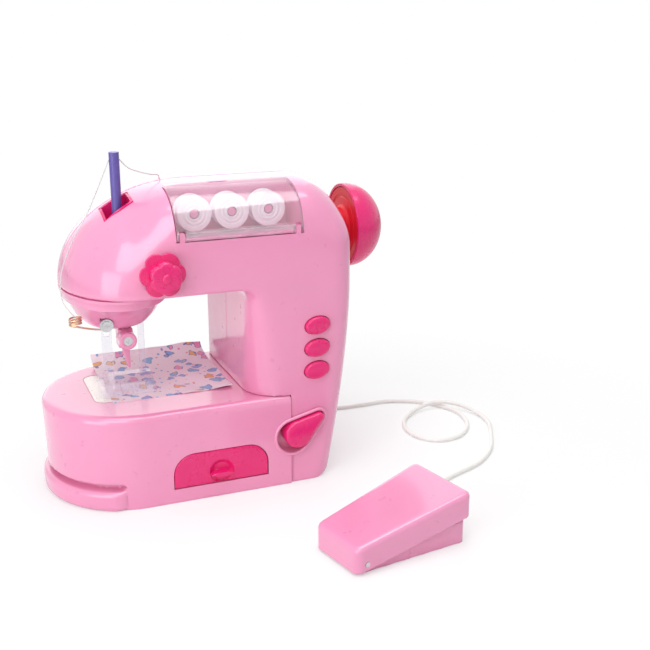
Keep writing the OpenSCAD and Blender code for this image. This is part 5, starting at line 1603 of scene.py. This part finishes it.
@dataclass
class FabricPiece:
    """Square of printed cotton that lies under the foot and curls up at the back."""

    x0: float = -54.0
    y0: float = -24.5
    width: float = 76.0
    flat: float = 52.0
    rise: float = 7.0
    curl: float = 24.0
    arc_extra: float = 2.0
    thick: float = 0.5
    count: tuple[int, int] = (90, 100)

    def build(self) -> None:
        """Lays a grid flat, lifts its back edge along a quarter wave, and adds slight ripples away from the foot."""
        rows, columns = self.count
        u, v = np.meshgrid(np.linspace(0.0, 1.0, rows), np.linspace(0.0, 1.0, columns), indexing="ij")
        x = self.x0 + self.width * u
        run = v * (self.flat + self.curl)
        bend = np.clip((run - self.flat) / self.curl, 0.0, 1.0) * math.pi / 2.0
        y = self.y0 + np.minimum(run, self.flat) + self.curl * np.sin(bend)
        lift = self.rise * (1.0 - np.cos(bend))
        free = smooth_step(x, -22.0, 6.0) * smooth_step(np.abs(v - 0.5), -0.6, 0.5)
        ripple = 0.5 * free * (1.0 + np.sin(0.23 * x + 0.11 * y)) + 0.35 * free * (1.0 + np.cos(0.19 * y - 0.08 * x))
        z = 59.62 + lift + ripple
        grid = np.stack([x, y, z], -1).reshape(-1, 3)
        piece = make_piece("cloth_piece", grid, grid_quads(rows, columns), CLOTH, 80.0)
        change = piece.modifiers.new("thickness", "SOLIDIFY")
        change.thickness = self.thick * MM
        change.offset = 1.0
        bpy.context.view_layer.update()
        settle(piece, 80.0)
        fit_out(piece, Body.MACHINE, "cloth", "fabric_piece")


@dataclass
class PedalUnit:
    """Foot pedal: a wedge lid over a low base."""

    at: tuple[float, float] = PEDAL_AT
    turn: float = PEDAL_TURN
    step: float = 0.9
    length: float = 76.0
    low_width: float = 39.5
    widening: float = 11.0

    def placed(self, points: Array) -> Array:
        """Turns and moves points from the pedal's own frame.

        Args:
            points: Points in the pedal's frame.

        Returns:
            Points in the model's frame.
        """
        t = math.radians(self.turn)
        spin = np.array([[math.cos(t), -math.sin(t)], [math.sin(t), math.cos(t)]])
        out = points.copy()
        out[:, :2] = points[:, :2] @ spin.T + np.array(self.at)
        return out

    def half_width(self, x: Array) -> Array:
        """Half of the lid's width, which grows evenly towards the high end."""
        return (self.low_width + self.widening * x / self.length) / 2.0

    def lid(self, x: Array, y: Array, z: Array) -> Array:
        """Wedge with rounded edges, widening to its high end, hollow below, with holes for the hinge pin.

        Args:
            x: Places from the low end to the high end.
            y: Places across.
            z: Heights.

        Returns:
            Signed distances, negative inside.
        """
        half = self.half_width(x)
        plan = corner(np.abs(y) - half, np.abs(x - self.length / 2) - self.length / 2, 4.0)
        top = (z - (16.0 + 16.0 * x / self.length)) * 0.978
        under = (0.8 + 16.2 * x / self.length - z) * 0.978
        solid = corner(plan, top, 3.0)
        room = np.maximum(plan + 2.0, top + 2.0)
        shape = np.maximum(np.maximum(solid, -room), under)
        return np.maximum(shape, 1.56 - np.hypot(x - 7.0, z - 6.0))

    def base(self, x: Array, y: Array, z: Array) -> Array:
        """Low tray inside the lid with a sloping top, hollow, open at the spring and switch.

        Args:
            x: Places from the low end to the high end.
            y: Places across.
            z: Heights.

        Returns:
            Signed distances, negative inside.
        """
        half = self.half_width(x) - 2.6
        plan = corner(np.abs(y) - half, np.abs(x - 38.8) - 34.6, 2.0)
        top = z - (9.0 + 5.0 * x / self.length)
        solid = np.maximum(corner(plan, top, 0.8), -z)
        room = np.maximum(np.maximum(plan + 2.4, top + 2.4), np.maximum(2.4 - z, 13.0 - x))
        shape = np.maximum(solid, -room)
        spring = np.maximum(np.hypot(x - 50.0, y) - 4.6, 10.0 - z)
        switch = np.maximum(np.maximum(np.abs(x - 34.0) - 4.1, np.abs(y) - 4.1), 8.8 - z)
        return np.maximum(np.maximum(shape, -spring), -switch)

    def spring(self) -> None:
        """Carries a circle along a helix whose foot sits on the base and whose upper end meets the lid."""
        turn = np.linspace(0.0, 2.0 * math.pi * 6.5, 200)
        rise = 11.4 + 11.6 * np.clip((turn - 2.0 * math.pi) / (2.0 * math.pi * 4.5), 0.0, 1.0)
        path = self.placed(np.stack([50.0 + 3.3 * np.cos(turn), 3.3 * np.sin(turn), rise], 1))
        piece = make_piece("lid_spring", *swept(path, 0.45, 8), STEEL, 60.0)
        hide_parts("pedal_spring")
        foot, head = self.placed(np.array([[50.0, 0.0, 11.0], [50.0, 0.0, 23.4]])) * MM
        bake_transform(piece)

    def build(self) -> None:
        """Skins the lid and the base in the pedal's frame, then places them."""
        self.spring()
        points, faces = net_surface(self.lid, (-3.0, -28.0, -1.0), (79.0, 28.0, 35.0), self.step)
        lid = make_piece("pedal_lid", self.placed(points), faces, BODY_PINK)
        fit_out(lid, Body.PEDAL, "body_pink", "pedal_top")
        points, faces = net_surface(self.base, (1.0, -26.0, -2.0), (76.5, 26.0, 17.0), self.step)
        points[:, 2] = np.where(np.abs(points[:, 2]) < 0.05, 0.0, points[:, 2])
        tray = make_piece("pedal_tray", self.placed(points), faces, BODY_PINK)
        fit_out(tray, Body.MACHINE, "body_pink", "pedal_base")


@dataclass
class PedalCord:
    """White cord from the back of the column, over the table with one loop, to the pedal."""

    start: tuple[tuple[float, float, float], ...] = (
        (CORD_EXIT[0], 61.5, CORD_EXIT[1]), (CORD_EXIT[0], 65.5, CORD_EXIT[1]))
    points: tuple[tuple[float, float, float], ...] = (
        (58, 72, 12.2), (61, 80, 8), (70, 86, 3.5), (84, 84, 1.7), (98, 73, 1.7), (112, 59, 1.7), (127, 51, 1.7),
        (145, 50, 1.7), (165, 50, 1.7), (183, 43, 1.7), (197, 30, 1.7), (205, 13, 1.7), (204, -4, 1.7),
        (197, -19, 1.7), (184, -30, 1.7), (169, -31, 1.7), (158, -21, 1.7), (156, -4, 1.7), (164, 13, 1.8),
        (180, 24, 3.4), (195, 26, 5.4), (209, 19, 4.6), (217, 4, 2.6), (217, -14, 1.7), (209, -32, 1.7),
        (194, -57, 1.7), (175, -74, 1.7), (152, -84, 1.7), (138, -92, 1.7), (133, -105, 1.8), (133, -119, 2.6),
        (130, -130, 4.8))
    pedal: tuple[float, float] = PEDAL_AT
    turn: float = PEDAL_TURN
    ends: tuple[float, float] = (85.6, 81.6)

    def build(self) -> None:
        t = math.radians(self.turn)
        into = [(self.pedal[0] + r * math.cos(t), self.pedal[1] + r * math.sin(t), 6.0) for r in self.ends]
        loose = eased_path([self.start[1], *self.points, into[0]], 10)
        path = np.concatenate([[self.start[0]], loose, [into[1]]])
        piece = make_piece("pedal_lead", *swept(path, 1.5, 16), CORD_VINYL, 60.0)
        fit_out(piece, Body.MACHINE, "cord_vinyl", "pedal_cord")


@dataclass
class KeptSolids:
    """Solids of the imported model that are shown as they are, each in the finish of its slot."""

    frame: dict = field(default_factory=dict)

    def dress(self) -> None:
        """Gives every solid the material of its slot in the record."""
        for part in self.frame["record"]["subparts"]:
            node = self.frame["nodes"][part["node"]]
            node.data.materials.clear()
            node.data.materials.append(SLOT_FINISH[part["material_slot"]].material())


@dataclass
class Studio:
    """White sweep, soft lamps and the camera at the photograph's angle."""

    eye: tuple[float, float, float] = (-0.1582, -0.6270, 0.2945)
    pitch: float = 72.8
    heading: float = -22.0
    lens: float = 58.15
    world: float = 0.34

    def lamp(self, name: str, at: Sequence[float], aim: Sequence[float], size: float, power: float) -> None:
        """Adds one square area lamp.

        Args:
            name: Lamp name.
            at: Place in metres.
            aim: Point that it faces.
            size: Edge in metres.
            power: Watts.
        """
        data = bpy.data.lights.new(name, "AREA")
        data.shape, data.size, data.energy = "SQUARE", size, power
        lamp = bpy.data.objects.new(name, data)
        way = np.asarray(at, float) - np.asarray(aim, float)
        way = way / np.linalg.norm(way)
        lamp.location = tuple(at)
        lamp.rotation_euler = (math.acos(way[2]), 0.0, math.atan2(way[1], way[0]) + math.pi / 2.0)
        bpy.context.scene.collection.objects.link(lamp)

    def sweep(self) -> None:
        """Lays a floor that is far larger than the view."""
        edge = 4000.0
        points = np.array([[-edge, -edge, 0.0], [edge, -edge, 0.0], [edge, edge, 0.0], [-edge, edge, 0.0]])
        floor = make_piece("floor", points - np.array([0.0, 0.0, 0.02]), np.array([[0, 1, 2, 3]]), PAPER)

    def sky(self) -> None:
        """Lights the scene evenly, and shows plain white to the lens and in reflections."""
        world = bpy.data.worlds.new("studio")
        bpy.context.scene.world = world
        world.use_nodes = True
        tree = world.node_tree
        tree.nodes.clear()
        out = tree.nodes.new("ShaderNodeOutputWorld")
        path = tree.nodes.new("ShaderNodeLightPath")
        mix = tree.nodes.new("ShaderNodeMixShader")
        for socket, strength in zip(mix.inputs[1:], (self.world, 1.0)):
            light = tree.nodes.new("ShaderNodeBackground")
            light.inputs["Color"].default_value = (1.0, 1.0, 1.0, 1.0)
            light.inputs["Strength"].default_value = strength
            tree.links.new(light.outputs["Background"], socket)
        seen = tree.nodes.new("ShaderNodeMath")
        seen.operation = "MAXIMUM"
        tree.links.new(path.outputs["Is Camera Ray"], seen.inputs[0])
        tree.links.new(path.outputs["Is Glossy Ray"], seen.inputs[1])
        tree.links.new(seen.outputs["Value"], mix.inputs[0])
        tree.links.new(mix.outputs["Shader"], out.inputs["Surface"])

    def camera(self) -> None:
        """Places the camera where the photograph was taken from."""
        data = bpy.data.cameras.new("view")
        data.lens, data.sensor_width = self.lens, 36.0
        cam = bpy.data.objects.new("view", data)
        cam.location = self.eye
        cam.rotation_euler = (math.radians(self.pitch), 0.0, math.radians(self.heading))
        bpy.context.scene.collection.objects.link(cam)
        bpy.context.scene.camera = cam

    def build(self) -> None:
        """Builds the floor, the light and the camera."""
        self.sweep()
        self.sky()
        self.lamp("key", (-0.5, -0.72, 0.95), (0.0, -0.03, 0.08), 0.7, 4.8)
        self.lamp("top", (0.1, -0.1, 1.2), (0.05, -0.05, 0.05), 0.8, 7.6)
        self.lamp("low", (-0.6, -0.4, 0.22), (0.0, 0.0, 0.08), 0.4, 1.3)
        self.lamp("back", (0.15, 1.2, 0.7), (0.03, 0.0, 0.1), 1.5, 4.5)
        self.camera()
        bpy.context.scene.view_settings.view_transform = "Standard"


def main() -> None:
    """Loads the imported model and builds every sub-assembly in order."""
    logging.basicConfig(level=logging.INFO, format="%(message)s")
    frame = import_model()
    Studio().build()
    KeptSolids(frame).dress()
    PedalCord().build()
    ThreadWork().build()
    UpperCase().build()
    BedCase().build()
    NeedleHousing().build()
    BobbinWindow().build()
    Controls().build()
    DrawerUnit().build()
    HandWheel().build()
    NeedleClamp().build()
    FabricPiece().build()
    PedalUnit().build()


if __name__ == "__main__":
    main()
